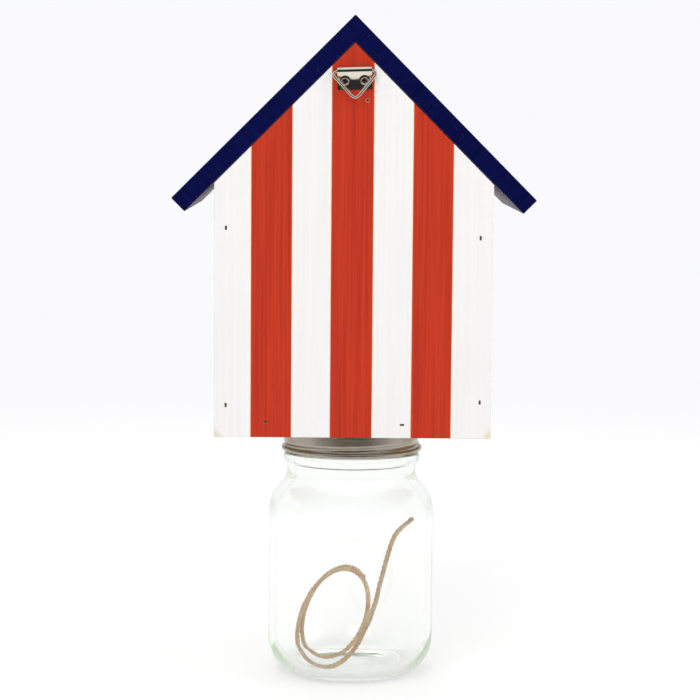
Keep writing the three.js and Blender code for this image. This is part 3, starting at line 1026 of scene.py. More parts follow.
@dataclass
class Studio:
    """A plain pale floor under soft light, in front of a white ground."""

    floor_reach: float = 8
    ground: Colour = (0.955, 0.955, 0.972)
    ambient: float = 0.74
    dark_side: float = 0.03
    dark_span: Pair = (0.6, 0.8)
    dark_lean: float = 0.15
    dark_from: float = 0.42
    dark_to: float = 0.72
    near_floor: float = 0.35
    far_floor: float = 1.3
    behind_glass: float = 1.08
    floor_glow: float = 0.56
    floor_shown: float = 0.46
    floor_bounce: float = 0.75
    target: Point = (0, 0, 0.17)
    lamps: tuple[Lamp, ...] = (
        Lamp("key_lamp", (-0.5, -1.6, 1.7), width=1.4, power=17),
        Lamp("side_lamp", (1.7, -0.6, 0.9), width=1.2, power=8),
        Lamp("back_lamp", (-0.2, 1.5, 1.8), width=1.4, power=8),
    )

    def build(self) -> None:
        """Makes the world, the floor and the lamps."""
        self.world()
        self.floor()
        for lamp in self.lamps:
            lamp.build(self.target)

    def white_level(self, graph: Graph, beyond: object) -> bpy.types.NodeSocket:
        """How bright the white ground is: a little more for a ray that has come through glass."""
        return graph.add("ShaderNodeMapRange", {0: beyond, 3: 1.0, 4: self.behind_glass}).outputs[0]

    def world(self) -> None:
        """A white backdrop in a dimmer room: softer as light, and dark in front of the object in metal."""
        world = bpy.data.worlds.new("studio")
        world.use_nodes = True
        graph = Graph(world.node_tree)
        ray = graph.add("ShaderNodeLightPath").outputs
        beyond = past_glass(graph, ray)
        shown = graph.largest(ray["Is Camera Ray"], beyond)
        _, back, up = graph.split(graph.add("ShaderNodeTexCoord").outputs["Generated"])
        front = graph.plus(graph.times(back, -1), graph.times(up, -self.dark_lean))
        room = graph.between(front, *self.dark_span, 1.0, self.dark_side)
        strength = graph.largest(room, ray["Is Singular Ray"])
        mirrored = graph.add("ShaderNodeBackground", {"Color": self.ground, "Strength": strength})
        white = self.white_level(graph, beyond)
        plain = graph.add("ShaderNodeBackground", {"Color": self.ground, "Strength": white})
        soft = graph.add("ShaderNodeBackground", {"Color": (1, 1, 1), "Strength": self.ambient})
        mirror = {0: ray["Is Glossy Ray"], 1: soft.outputs[0], 2: mirrored.outputs[0]}
        light = graph.add("ShaderNodeMixShader", mirror)
        both = graph.add("ShaderNodeMixShader", {0: shown, 1: light.outputs[0], 2: plain.outputs[0]})
        graph.add("ShaderNodeOutputWorld", {"Surface": both.outputs[0]})
        bpy.context.scene.world = world

    def floor(self) -> bpy.types.Object:
        """A floor that shows white and keeps the object's shadow.

        Returns:
            The floor.
        """
        material, graph = new_material("floor")
        ray = graph.add("ShaderNodeLightPath").outputs
        beyond = past_glass(graph, ray)
        direct = graph.largest(graph.largest(ray["Is Camera Ray"], beyond), ray["Is Singular Ray"])
        seen = graph.largest(direct, ray["Is Glossy Ray"])
        place = graph.place()
        away = graph.add("ShaderNodeVectorMath", {0: place}, operation="LENGTH").outputs["Value"]
        far = graph.between(away, self.near_floor, self.far_floor)
        _, back, _ = graph.split(place)
        front = graph.between(back, -self.dark_from, -self.dark_to, 1.0, self.dark_side)
        glowing = graph.largest(direct, front)
        level = graph.times(glowing, self.white_level(graph, beyond))
        bounced = graph.add("ShaderNodeBsdfDiffuse", {"Color": (self.floor_bounce,) * 3})
        lit = graph.add("ShaderNodeBsdfDiffuse", {"Color": (self.floor_shown,) * 3})
        dim = graph.add("ShaderNodeMixShader", {0: glowing, 2: lit.outputs[0]})
        strength = graph.times(level, self.floor_glow)
        glow = graph.add("ShaderNodeEmission", {"Color": (1, 1, 1), "Strength": strength})
        near = graph.add("ShaderNodeAddShader", {0: dim.outputs[0], 1: glow.outputs[0]})
        plain = graph.add("ShaderNodeEmission", {"Color": self.ground, "Strength": level})
        shown = graph.add("ShaderNodeMixShader", {0: far, 1: near.outputs[0], 2: plain.outputs[0]})
        both = graph.add("ShaderNodeMixShader", {0: seen, 1: bounced.outputs[0], 2: shown.outputs[0]})
        graph.add("ShaderNodeOutputMaterial", {"Surface": both.outputs[0]})
        reach = self.floor_reach
        corners = [(-reach, -reach, 0), (reach, -reach, 0), (reach, reach, 0), (-reach, reach, 0)]
        floor = make_object("floor", mesh_from("floor", corners, [(0, 1, 2, 3)]), [material])
        return floor


@dataclass
class House:
    """The wooden house: eased boards in their paints, and the brads that hold them."""

    ease: float = 0.35 * MM
    ease_steps: int = 3
    shortest_eased_edge: float = 24 * MM
    least_eased_angle: float = math.radians(30)
    flat_angle: float = math.radians(0.5)
    weld: float = 0.001 * MM
    outward_share: float = 0.2
    flat_on_share: float = 0.5
    white: Colour = srgb(246, 244, 242)
    white_shade: Colour = srgb(241, 239, 237)
    navy: Colour = srgb(3, 10, 74)
    navy_shade: Colour = srgb(1, 5, 58)
    navy_speck: Colour = srgb(60, 44, 84)
    # The roof boards' undersides are white paint; this mauve grey is painted shade, the white as it looks in
    # the shade under the roof
    underside: Colour = srgb(90, 80, 98)
    spare_hole: Pair = (6.3 * MM, 299.05 * MM)

    def build(self) -> None:
        """Builds every board and dresses the brads."""
        self.panels()
        self.sides()
        self.roof()
        self.floor_board()
        self.brads()

    def eased_board(
        self,
        node: str,
        materials: Sequence[bpy.types.Material],
        painted: Callable[[Vector], int],
    ) -> bpy.types.Object:
        """A board like its solid, with its long edges eased and a material for each face.

        Args:
            node: The solid's name.
            materials: The board's materials.
            painted: The number of the material for a face, from the way the face looks.

        Returns:
            The board.
        """
        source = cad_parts[node].data
        shape = bmesh.new()
        corners = [shape.verts.new(vertex.co) for vertex in source.vertices]
        for polygon in source.polygons:
            shape.faces.new([corners[i] for i in polygon.vertices])
        bmesh.ops.remove_doubles(shape, verts=shape.verts, dist=self.weld)
        bmesh.ops.dissolve_limit(shape, angle_limit=self.flat_angle, verts=shape.verts, edges=shape.edges)
        long_edges = [
            edge
            for edge in shape.edges
            if len(edge.link_faces) == 2
            and edge.calc_face_angle() > self.least_eased_angle
            and edge.calc_length() > self.shortest_eased_edge
        ]
        bmesh.ops.bevel(
            shape,
            geom=long_edges,
            offset=self.ease,
            segments=self.ease_steps,
            profile=0.5,
            affect="EDGES",
            clamp_overlap=False,
            material=-1,
        )
        shape.normal_update()
        for face in shape.faces:
            face.material_index = painted(face.normal)
        mesh = bpy.data.meshes.new(f"eased_{node}")
        shape.to_mesh(mesh)
        shape.free()
        board = settle_normals(smooth(make_object(f"eased_{node}", mesh, materials)))
        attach(board, "house")
        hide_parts(node)
        return board

    def panel_paint(self, out: float) -> int:
        """The number of a panel's material for one of its faces.

        Args:
            out: How far the face looks outwards, from -1 to 1.

        Returns:
            0 outside, 1 on an edge and 2 inside.
        """
        if out > self.outward_share:
            return 0
        return 2 if out < -self.flat_on_share else 1

    def panels(self) -> None:
        """The two gabled panels, striped outside and bare inside."""
        striped = StripedPaint("striped_paint", self.white, self.white_shade).material()
        splintered = StripedPaint(
            "drilled_paint", self.white, self.white_shade, splintered=self.spare_hole
        ).material()
        plain = Paint("panel_edge_paint", self.white, self.white_shade).material()
        bare = BareWood("panel_wood").material()
        for node, way, face in (("back_panel", -1, splintered), ("front_panel", 1, striped)):
            board = self.eased_board(
                node, [face, plain, bare], lambda normal, way=way: self.panel_paint(normal.y * way)
            )
            report(board, "gabled panel, striped outside")

    def sides(self) -> None:
        """The two side boards, white outside and bare inside."""
        white = Paint("white_paint", self.white, self.white_shade).material()
        bare = BareWood("side_wood").material()
        for node, side in (("left_side", Side.LEFT), ("right_side", Side.RIGHT)):
            board = self.eased_board(
                node,
                [white, bare],
                lambda normal, way=side.value: 0 if normal.x * way > self.flat_on_share else 1,
            )
            report(board, "side board with its entrance")

    def roof(self) -> None:
        """The two roof boards, navy on top and along their edges, and mauve grey underneath: painted shade on
        their white undersides.
        """
        grains = {Side.LEFT: Axis.DOWN_LEFT_SLOPE, Side.RIGHT: Axis.DOWN_RIGHT_SLOPE}
        for node, side in (("left_roof_board", Side.LEFT), ("right_roof_board", Side.RIGHT)):
            axis = grains[side]
            word = side.name.lower()
            navy = Paint(
                f"navy_paint_{word}",
                self.navy,
                self.navy_shade,
                axis=axis,
                roughness=0.42,
                gloss=0.08,
                speck=self.navy_speck,
                speck_share=0.3,
            ).material()
            # Painted shade: the white undersides drawn in the mauve grey of the shade under the roof
            under = Paint(f"underside_paint_{word}", self.underside, self.underside, axis=axis).material()
            board = self.eased_board(
                node,
                [navy, under],
                lambda normal, way=side.value: int(normal.z < -self.flat_on_share and normal.x * way < 0),
            )
            report(board, "roof board, mitred at the ridge")

    def floor_board(self) -> None:
        """The floor board, bare, with its passage."""
        bare = BareWood("floor_wood", axis=Axis.LEVEL).material()
        board = self.eased_board("floor_board", [bare], lambda normal: 0)
        report(board, "floor board with the passage")

    def brads(self) -> None:
        """Gives each brad its metal, an olive brass made darker with painted shade from the recess that it is
        sunk in.
        """
        # Olive brass, darkened further as painted shade for the brad's recess
        metal = Metal("brad_wire", srgb(112, 100, 52), srgb(66, 58, 22), roughness=0.5).material()
        for name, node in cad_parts.items():
            if "_brad_" in name:
                dress(node, metal)
                report(node, "sunk brad")


@dataclass
class PanScrew:
    """A pan head wood screw with a cross recess, standing on its point along -Z."""

    head_radius: float
    head_height: float
    shank_radius: float
    length: float
    fullness: float = 2.6
    head_steps: int = 12
    crown_share: float = 0.02
    point_share: float = 0.05
    thread_pitch: float = 1.4 * MM
    thread_share: float = 0.3
    thread_half_turn: float = 0.3
    rows_per_pitch: int = 8
    recess_share: float = 0.62
    recess_mouth: float = 1.15
    recess_foot: float = 0.55
    recess_top: float = 1.2
    recess_floor: float = 0.3
    slot_share: float = 0.2
    segments: int = 48
    sharp_angle: float = math.radians(40)

    def mesh_object(self, name: str, material: bpy.types.Material) -> bpy.types.Object:
        """Builds the screw with its head above zero.

        Args:
            name: The piece's name.
            material: The screw's metal.

        Returns:
            The screw, at the origin.
        """
        head: list[Row] = []
        for i in range(self.head_steps + 1):
            share = math.sin(math.pi / 2 * i / self.head_steps)
            head.append((max(share, self.crown_share) * self.head_radius, self.rise(share)))
        core = self.shank_radius * (1 - self.thread_share)
        tip = self.length - 2 * self.shank_radius
        count = int(tip / (self.thread_pitch / self.rows_per_pitch))
        shank = [(core, -tip * i / count) for i in range(count + 1)]
        profile = [*head, *shank, (self.point_share * self.shank_radius, -self.length)]
        # The rows next to the head and to the point stay plain
        first = len(head) + 2
        last = len(profile) - 3

        def reach(angle: float, number: int) -> float:
            """How far the thread moves a row out."""
            return self.thread(angle, profile[number][1]) if first <= number <= last else 0.0

        mesh = turned_mesh(name, profile, self.segments, reach=reach)
        screw = make_object(name, mesh, [material])
        cut(screw, self.recess())
        return smooth(screw, self.sharp_angle)

    def thread(self, angle: float, height: float) -> float:
        """How far the thread stands out of the core.

        Args:
            angle: The angle about the screw's axis.
            height: The height, less than zero under the head.

        Returns:
            A length from 0 to the thread's depth.
        """
        turn = (height / self.thread_pitch - angle / FULL_TURN) % 1
        stand = max(0.0, 1 - abs(turn - 0.5) / self.thread_half_turn)
        return self.shank_radius * self.thread_share * stand

    def rise(self, share: float) -> float:
        """The head's height at a share of its radius."""
        return self.head_height * (1 - share**self.fullness) ** (1 / self.fullness)

    def recess(self) -> list[bpy.types.Object]:
        """The two tapered slots of the cross.

        Returns:
            The cutters.
        """
        reach = self.head_radius * self.recess_share
        half = self.head_radius * self.slot_share / 2
        levels = (
            (self.head_height * self.recess_top, reach * self.recess_mouth),
            (self.head_height * self.recess_floor, reach * self.recess_foot),
        )
        faces = [(0, 1, 2, 3), (4, 5, 6, 7), (0, 1, 5, 4), (1, 2, 6, 5), (2, 3, 7, 6), (3, 0, 4, 7)]
        tools = []
        for across in (False, True):
            corners = []
            for height, length in levels:
                for x, y in ((-length, -half), (length, -half), (length, half), (-length, half)):
                    corners.append((y, x, height) if across else (x, y, height))
            tools.append(make_object("cutter", mesh_from("cutter", corners, faces), []))
        return tools


@dataclass
class Hanger:
    """The strap folded round a triangular wire ring, and its two screws."""

    origin: Point = (-0.3 * MM, -66.99469 * MM, 313.65 * MM)
    tilt: float = math.radians(2)
    width: float = 17.2 * MM
    thickness: float = 0.7 * MM
    drop: float = 9.35 * MM
    leaf_drop: float = 4.25 * MM
    leaf_gap: float = 0.3 * MM
    leaf_wrap: float = math.radians(34)
    loop_clearance: float = 0.65 * MM
    loop_steps: int = 40
    edge_ease: float = 0.09 * MM
    wire_radius: float = 0.75 * MM
    wire_sides: int = 20
    ring_out: float = 0.3 * MM
    ring_down: float = 0.2 * MM
    ring_reach: float = 12.3 * MM
    ring_drop: float = 14.5 * MM
    ring_corner: float = 5 * MM
    ring_tip_corner: float = 3.2 * MM
    ring_corner_steps: int = 14
    ring_split: float = 0.6 * MM
    ring_tilt: float = math.radians(11.18)
    screw_across: float = 4.8 * MM
    screw_below: float = 5.1 * MM
    screw_turns: Pair = (20, 62)
    scallop_radius: float = 2.8 * MM
    scallop_out: float = 4 * MM
    hole_radius: float = 1.5 * MM
    hole_reach: float = 1 * MM

    @property
    def bar_out(self) -> float:
        """How far the middle of the strap's loop stands out of the panel."""
        return self.thickness + self.wire_radius + self.loop_clearance

    def pose(self) -> Matrix:
        """The hanger's own frame: at the height of the loop's middle, on the panel's face."""
        return Matrix.Translation(Vector(self.origin)) @ Matrix.Rotation(-self.tilt, 4, "Y")

    def build(self) -> None:
        """Builds the plate, the ring and the screws."""
        nickel = Metal(
            "nickel_plate",
            srgb(226, 220, 206),
            srgb(196, 188, 170),
            roughness=0.16,
            streaks=(2200, 400, 400),
        ).material()
        dark = Metal(
            "dark_screw", srgb(190, 184, 172), srgb(70, 66, 60), roughness=0.16, patch_scale=900
        ).material()
        self.plate(nickel)
        self.ring(nickel)
        self.screws(dark)

    def centre_line(self) -> list[Row]:
        """The strap's middle line.

        Returns:
            Its points, as distance out of the panel and height over the bar.
        """
        half = self.thickness / 2
        loop = self.wire_radius + self.loop_clearance + half
        leaf_out = 3 * half + self.leaf_gap
        line: list[Row] = [(half, -self.drop)]
        for i in range(self.loop_steps + 1):
            angle = math.pi - (math.pi + self.leaf_wrap) * i / self.loop_steps
            line.append((self.bar_out + loop * math.cos(angle), loop * math.sin(angle)))
        line.append((leaf_out, -self.leaf_drop))
        return line

    def strap(self) -> bpy.types.Mesh:
        """The bent strap before it is drilled: back leaf, loop and front leaf.

        Returns:
            The mesh, in the hanger's own frame.
        """
        line = [Vector((out, up, 0)) for out, up in self.centre_line()]
        left: list[Vector] = []
        right: list[Vector] = []
        for i, point in enumerate(line):
            before = line[max(0, i - 1)]
            after = line[min(len(line) - 1, i + 1)]
            along = (after - before).normalized()
            aside = Vector((-along.y, along.x, 0)) * (self.thickness / 2)
            left.append(point + aside)
            right.append(point - aside)
        section = left + right[::-1]
        count = len(section)
        half = self.width / 2
        corners = [(x, -point.x, point.y) for x in (-half, half) for point in section]
        faces: list[tuple[int, ...]] = []
        for i in range(count):
            after = (i + 1) % count
            faces.append((i, after, after + count, i + count))
        for base in (0, count):
            for i in range(len(line) - 1):
                faces.append((base + i, base + i + 1, base + count - 2 - i, base + count - 1 - i))
        return mesh_from("strap_plate", corners, faces)

    def plate(self, metal: bpy.types.Material) -> bpy.types.Object:
        """The strap, drilled through both leaves and scalloped round its screws.

        Args:
            metal: The strap's metal.

        Returns:
            The plate.
        """
        plate = make_object("strap_plate", self.strap(), [metal])
        scallop_start = -(self.thickness + self.leaf_gap / 2)
        tools = []
        for side in Side:
            x = side.value * self.screw_across
            z = -self.screw_below
            tools.append(cylinder(self.hole_radius, (x, self.hole_reach, z), (x, -self.hole_reach, z)))
            tools.append(cylinder(self.scallop_radius, (x, scallop_start, z), (x, -self.scallop_out, z)))
        cut(plate, tools)
        ease_edges(plate, self.edge_ease)
        settle_normals(smooth(plate))
        plate.data.transform(self.pose())
        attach(plate, "house")
        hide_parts("hanger_plate")
        return report(plate, "strap folded round the ring")

    def ring(self, metal: bpy.types.Material) -> bpy.types.Object:
        """The triangular ring, split in its top bar.

        Args:
            metal: The ring's metal.

        Returns:
            The ring.
        """
        corners = [
            Vector((self.ring_split / 2, 0, 0)),
            Vector((self.ring_reach, 0, 0)),
            Vector((0, 0, -self.ring_drop)),
            Vector((-self.ring_reach, 0, 0)),
            Vector((-self.ring_split / 2, 0, 0)),
        ]
        line = [corners[0]]
        for i, run in ((1, self.ring_corner), (2, self.ring_tip_corner), (3, self.ring_corner)):
            corner = corners[i]
            start = corner + (corners[i - 1] - corner).normalized() * run
            end = corner + (corners[i + 1] - corner).normalized() * run
            for j in range(self.ring_corner_steps + 1):
                share = j / self.ring_corner_steps
                line.append(start * (1 - share) ** 2 + corner * (2 * share * (1 - share)) + end * share**2)
        line.append(corners[-1])
        mesh = tube_mesh("wire_ring", line, self.wire_radius, self.wire_sides)
        mesh.transform(Matrix.Rotation(-self.ring_tilt, 4, "X"))
        mesh.transform(Matrix.Translation(Vector((0, -self.bar_out - self.ring_out, -self.ring_down))))
        mesh.transform(self.pose())
        ring = smooth(make_object("wire_ring", mesh, [metal]))
        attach(ring, "hanger_ring")
        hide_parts("hanger_ring")
        return report(ring, "bent wire ring")

    def screws(self, metal: bpy.types.Material) -> None:
        """The two pan head screws through the strap.

        Args:
            metal: The screws' metal.
        """
        shape = PanScrew(
            head_radius=2.25 * MM, head_height=1.5 * MM, shank_radius=1.2 * MM, length=10 * MM
        )
        for number, (side, turned) in enumerate(zip(Side, self.screw_turns), start=1):
            screw = shape.mesh_object(f"strap_screw_{number}", metal)
            screw.data.transform(Matrix.Rotation(math.radians(turned), 4, "Z"))
            screw.data.transform(Matrix.Rotation(math.pi / 2, 4, "X"))
            place = Vector((side.value * self.screw_across, -self.thickness, -self.screw_below))
            screw.data.transform(self.pose() @ Matrix.Translation(place))
            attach(screw, "house")
            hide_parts(f"hanger_screw_{number}")
            report(screw, "pan head screw")


@dataclass(frozen=True)
class ScrewThread:
    """A right-hand helix on a wall round the jar's axis."""

    depth: float
    half_width: float
    base: float
    start_turn: float
    turns: float
    fade_turns: float
    pitch: float = 5.08 * MM

    def stand(self, angle: float, height: float) -> float:
        """How far the thread stands out at an angle and a height.

        Args:
            angle: The angle about the jar's axis.
            height: The height over the floor.

        Returns:
            A length from 0 to the thread's depth.
        """
        most = 0.0
        turn = angle / FULL_TURN
        for lap in range(-1, math.ceil(self.turns) + 2):
            along = turn + lap - self.start_turn
            fade = min(1.0, max(0.0, min(along, self.turns - along) / self.fade_turns))
            offset = abs(height - self.base - self.pitch * (turn + lap)) / self.half_width
            if fade and offset < 1:
                most = max(most, fade * self.depth * 0.5 * (1 + math.cos(math.pi * offset)))
        return most

    def turned(
        self, name: str, rows: Sequence[MarkedRow], segments: int, way: int, closed: bool = False
    ) -> bpy.types.Mesh:
        """A body turned about the Z axis, with the thread on its marked rows.

        Args:
            name: The mesh's name.
            rows: Radius and height of each row, and whether the thread runs over it.
            segments: Faces round the axis.
            way: 1 for a thread that stands out, and -1 for one that is pressed in.
            closed: Whether the profile closes on itself.

        Returns:
            The mesh.
        """

        def reach(angle: float, number: int) -> float:
            """How far the thread moves a row out."""
            _, height, threaded = rows[number]
            return way * self.stand(angle, height) if threaded else 0.0

        profile = [(radius, height) for radius, height, _ in rows]
        return turned_mesh(name, profile, segments, closed=closed, reach=reach)


def marked(rows: Iterable[Row], threaded: bool) -> list[MarkedRow]:
    """Rows with a mark that says whether the thread runs over them."""
    return [(radius, height, threaded) for radius, height in rows]


@dataclass
class Closure:
    """The screw band, the lid disc and the screws that hold them to the floor board."""

    axis_back: float = JAR_AXIS_BACK
    top: float = 129.7 * MM
    bottom: float = 117.5 * MM
    outer_radius: float = 35.5 * MM
    sheet: float = 0.5 * MM
    corner_radius: float = 1.2 * MM
    outer_corner_steps: int = 8
    inner_corner_steps: int = 6
    flange_width: float = 5 * MM
    bead_radius: float = 1.25 * MM
    curl_steps: int = 22
    curl_turn: float = math.pi * 1.45
    curl_end: float = 0.9 * MM
    groove_depth: float = 0.8 * MM
    groove_half_width: float = 2.3 * MM
    groove_lift: float = 0.2 * MM
    screw_turns: tuple[float, ...] = (15, 48, 80)
    segments: int = 288
    sharp_angle: float = math.radians(50)
    row_step: float = 0.22 * MM

    def thread(self) -> ScrewThread:
        """The groove that is pressed into the band for the jar's thread."""
        return ScrewThread(
            depth=self.groove_depth,
            half_width=self.groove_half_width,
            base=self.bottom + self.groove_lift,
            start_turn=0.33,
            turns=1.12,
            fade_turns=0.09,
        )

    def build(self) -> None:
        """Builds the band, the lid and the screws."""
        pewter = Metal(
            "pewter_band",
            srgb(170, 162, 152),
            srgb(140, 122, 96),
            roughness=0.28,
            streaks=(60, 60, 900),
            patch_scale=60,
            patch_low=0.4,
            patch_high=0.8,
            relief=0.002 * MM,
        ).material()
        self.band(pewter)
        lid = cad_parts["lid_disc"]
        dress(lid, pewter)
        report(lid, "lid disc")
        self.screws()

    def curl(self) -> list[Row]:
        """The rolled bead at the band's foot.

        Returns:
            Its rows, from the wall down, out and round to the inside.
        """
        rows: list[Row] = []
        for i in range(self.curl_steps):
            angle = math.pi / 2 - self.curl_turn * i / self.curl_steps
            radius = self.outer_radius + self.bead_radius * math.cos(angle)
            rows.append((radius, self.bottom + self.bead_radius * (1 + math.sin(angle))))
        return rows

    def band(self, metal: bpy.types.Material) -> bpy.types.Object:
        """The screw band: flange, corner, threaded wall and curled bead.

        Args:
            metal: The band's metal.

        Returns:
            The band.
        """
        outer = self.outer_radius
        inner = outer - self.sheet
        lip = outer - self.flange_width
        wall_foot = self.bottom + 2 * self.bead_radius
        wall_top = self.top - self.corner_radius
        count = math.ceil((wall_top - wall_foot) / self.row_step)
        heights = [wall_foot + (wall_top - wall_foot) * i / count for i in range(count + 1)]
        middle = outer - self.corner_radius
        over = self.corner_radius
        under = self.corner_radius - self.sheet
        corner = quarter_arc(middle, wall_top, over, -over, self.outer_corner_steps)
        corner_in = quarter_arc(middle, wall_top, under, -under, self.inner_corner_steps)
        rows = marked([(lip, self.top), *corner], threaded=False)
        rows += marked([(outer, height) for height in reversed(heights[:-1])], threaded=True)
        rows += marked([*self.curl()[1:], (inner, self.bottom + self.curl_end)], threaded=False)
        rows += marked([(inner, height) for height in heights], threaded=True)
        rows += marked([*reversed(corner_in[:-1]), (lip, self.top - self.sheet)], threaded=False)
        mesh = self.thread().turned("pressed_band", rows, self.segments, way=-1, closed=True)
        mesh.transform(Matrix.Translation(Vector((0, self.axis_back, 0))))
        band = smooth(make_object("pressed_band", mesh, [metal]), self.sharp_angle)
        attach(band, "house")
        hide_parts("screw_band")
        return report(band, "screw band with its pressed thread")

    def screws(self) -> None:
        """The three screws under the lid."""
        steel = Metal("lid_screw_steel", srgb(176, 172, 162), srgb(120, 112, 98), roughness=0.28).material()
        shape = PanScrew(head_radius=3.2 * MM, head_height=1.9 * MM, shank_radius=1.6 * MM, length=11 * MM)
        for number, turned in enumerate(self.screw_turns, start=1):
            low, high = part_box(f"lid_screw_{number}")
            screw = shape.mesh_object(f"floor_screw_{number}", steel)
            screw.data.transform(Matrix.Rotation(math.radians(turned), 4, "Z"))
            screw.data.transform(Matrix.Rotation(math.pi, 4, "X"))
            place = Vector(((low.x + high.x) / 2, (low.y + high.y) / 2, low.z + shape.head_height))
            screw.data.transform(Matrix.Translation(place))
            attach(screw, "house")
            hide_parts(f"lid_screw_{number}")
            report(screw, "pan head screw under the lid")


@dataclass
class Jar:
    """The glass jar, moulded in one piece with its thread."""

    axis_back: float = JAR_AXIS_BACK
    height: float = 128.4 * MM
    radius: float = 43.2 * MM
    wall: float = 2.8 * MM
    foot_radius: float = 28 * MM
    foot_width: float = 3 * MM
    push_up: float = 1.5 * MM
    floor: float = JAR_FLOOR
    heel: float = 18.6 * MM
    shoulder_rise: float = 23.1 * MM
    neck_radius: float = 33.7 * MM
    neck_run: float = 3.9 * MM
    bead_stand: float = 1.7 * MM
    bead_height: float = 5.5 * MM
    finish_radius: float = 33.2 * MM
    finish_height: float = 11.5 * MM
    finish_wall: float = 3.2 * MM
    lip_radius: float = 1 * MM
    full_share: float = 0.61
    hollow_share: float = 0.59
    thread_depth: float = 1.15 * MM
    thread_half_width: float = 1.4 * MM
    thread_below_rim: float = 8.8 * MM
    middle_radius: float = 0.4 * MM
    segments: int = 256
    sharp_angle: float = math.radians(60)
    steps: int = 40
    wall_steps: int = 20
    bead_steps: int = 20
    lip_steps: int = 6
    row_step: float = 0.3 * MM

    @property
    def bead_top(self) -> float:
        """The height of the bead's upper edge."""
        return self.height - self.finish_height

    @property
    def bead_foot(self) -> float:
        """The height of the bead's lower edge."""
        return self.bead_top - self.bead_height

    @property
    def shoulder_foot(self) -> float:
        """The height where the wall starts to turn in."""
        return self.bead_foot - self.neck_run - self.shoulder_rise

    @property
    def lip_foot(self) -> float:
        """The height where the finish starts to round over into the mouth."""
        return self.height - self.lip_radius

    def thread(self) -> ScrewThread:
        """The thread on the finish, which lies just over the band's groove."""
        return ScrewThread(
            depth=self.thread_depth,
            half_width=self.thread_half_width,
            base=self.height - self.thread_below_rim,
            start_turn=-0.05,
            turns=1.35,
            fade_turns=0.07,
        )

    def upright(self, radius: float, start: float, end: float) -> list[Row]:
        """Rows between two heights of a straight wall, without its ends."""
        shares = [i / self.wall_steps for i in range(1, self.wall_steps)]
        return [(radius, start + (end - start) * share) for share in shares]

    def shoulder(self, body: float, neck: float, drop: float) -> list[Row]:
        """A shoulder, full at the body and hollow at the neck.

        Args:
            body: The radius at its foot.
            neck: The radius at its top.
            drop: How far it lies under the outer shoulder.

        Returns:
            Its rows, from the body up.
        """
        low = self.shoulder_foot - drop
        handles = (
            (body, low),
            (body, low + self.full_share * self.shoulder_rise),
            (neck, low + self.hollow_share * self.shoulder_rise),
            (neck, low + self.shoulder_rise),
        )
        rows: list[Row] = []
        for i in range(self.steps + 1):
            t = i / self.steps
            weights = ((1 - t) ** 3, 3 * t * (1 - t) ** 2, 3 * t * t * (1 - t), t**3)
            rows.append(tuple(sum(w * p[k] for w, p in zip(weights, handles)) for k in (0, 1)))
        return rows

    def underside(self) -> list[Row]:
        """The shallow dome under the jar.

        Returns:
            Its rows, from the middle out to the foot ring.
        """
        rest = self.foot_radius - self.foot_width / 2
        rows: list[Row] = [(self.middle_radius, self.push_up)]
        for i in range(1, self.steps + 1):
            share = i / self.steps
            rows.append((rest * share, self.push_up * (1 + math.cos(math.pi * share)) / 2))
        return rows

    def bead(self) -> list[Row]:
        """The bead between the neck and the finish.

        Returns:
            Its rows, from the neck up.
        """
        rows: list[Row] = [(self.neck_radius, self.bead_foot)]
        for i in range(1, self.bead_steps):
            angle = math.pi * i / self.bead_steps - math.pi / 2
            stand = self.bead_stand * math.sqrt(math.cos(angle))
            rise = self.bead_height / 2 * (1 + math.sin(angle))
            rows.append((self.neck_radius + stand, self.bead_foot + rise))
        return rows

    def outside(self) -> list[Row]:
        """The outer face below the finish.

        Returns:
            Its rows, from the middle of the underside up to the bead.
        """
        heel = quarter_arc(self.foot_radius, self.heel, self.radius - self.foot_radius, self.heel, self.steps)
        return [
            *self.underside(),
            *heel,
            *self.upright(self.radius, self.heel, self.shoulder_foot),
            *self.shoulder(self.radius, self.neck_radius, 0),
            *self.bead(),
        ]

    def inside(self) -> list[Row]:
        """The lip and the inner face.

        Returns:
            Its rows, from the finish over the lip and down to the middle of the floor.
        """
        lip = self.lip_radius
        mouth = self.finish_radius - self.finish_wall
        inner = self.radius - self.wall
        heel_radius = self.foot_radius - self.wall
        heel_height = self.heel + self.wall / 2
        outer_lip = quarter_arc(self.finish_radius - lip, self.lip_foot, lip, -lip, self.lip_steps)
        inner_lip = quarter_arc(mouth + lip, self.lip_foot, -lip, -lip, self.lip_steps)
        heel = quarter_arc(
            heel_radius, heel_height, inner - heel_radius, heel_height - self.floor, self.steps
        )
        return [
            *outer_lip[::-1][1:],
            *inner_lip,
            *self.shoulder(inner, mouth, self.wall)[::-1],
            *self.upright(inner, self.shoulder_foot - self.wall, heel_height),
            *heel[::-1],
            (heel_radius / 2, self.floor),
            (self.middle_radius, self.floor),
        ]

    def finish(self) -> list[Row]:
        """The straight wall that carries the thread.

        Returns:
            Its rows, from the bead up to the lip.
        """
        rise = self.lip_foot - self.bead_top
        count = math.ceil(rise / self.row_step)
        return [(self.finish_radius, self.bead_top + rise * i / count) for i in range(count + 1)]

    def build(self) -> bpy.types.Object:
        """Builds the jar.

        Returns:
            The jar.
        """
        rows = marked(self.outside(), threaded=False)
        rows += marked(self.finish(), threaded=True)
        rows += marked(self.inside(), threaded=False)
        mesh = self.thread().turned("moulded_jar", rows, self.segments, way=1)
        mesh.transform(Matrix.Translation(Vector((0, self.axis_back, 0))))
        jar = smooth(make_object("moulded_jar", mesh, [ClearGlass().material()]), self.sharp_angle)
        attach(jar, "jar")
        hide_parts("jar")
        return report(jar, "glass jar with its thread")


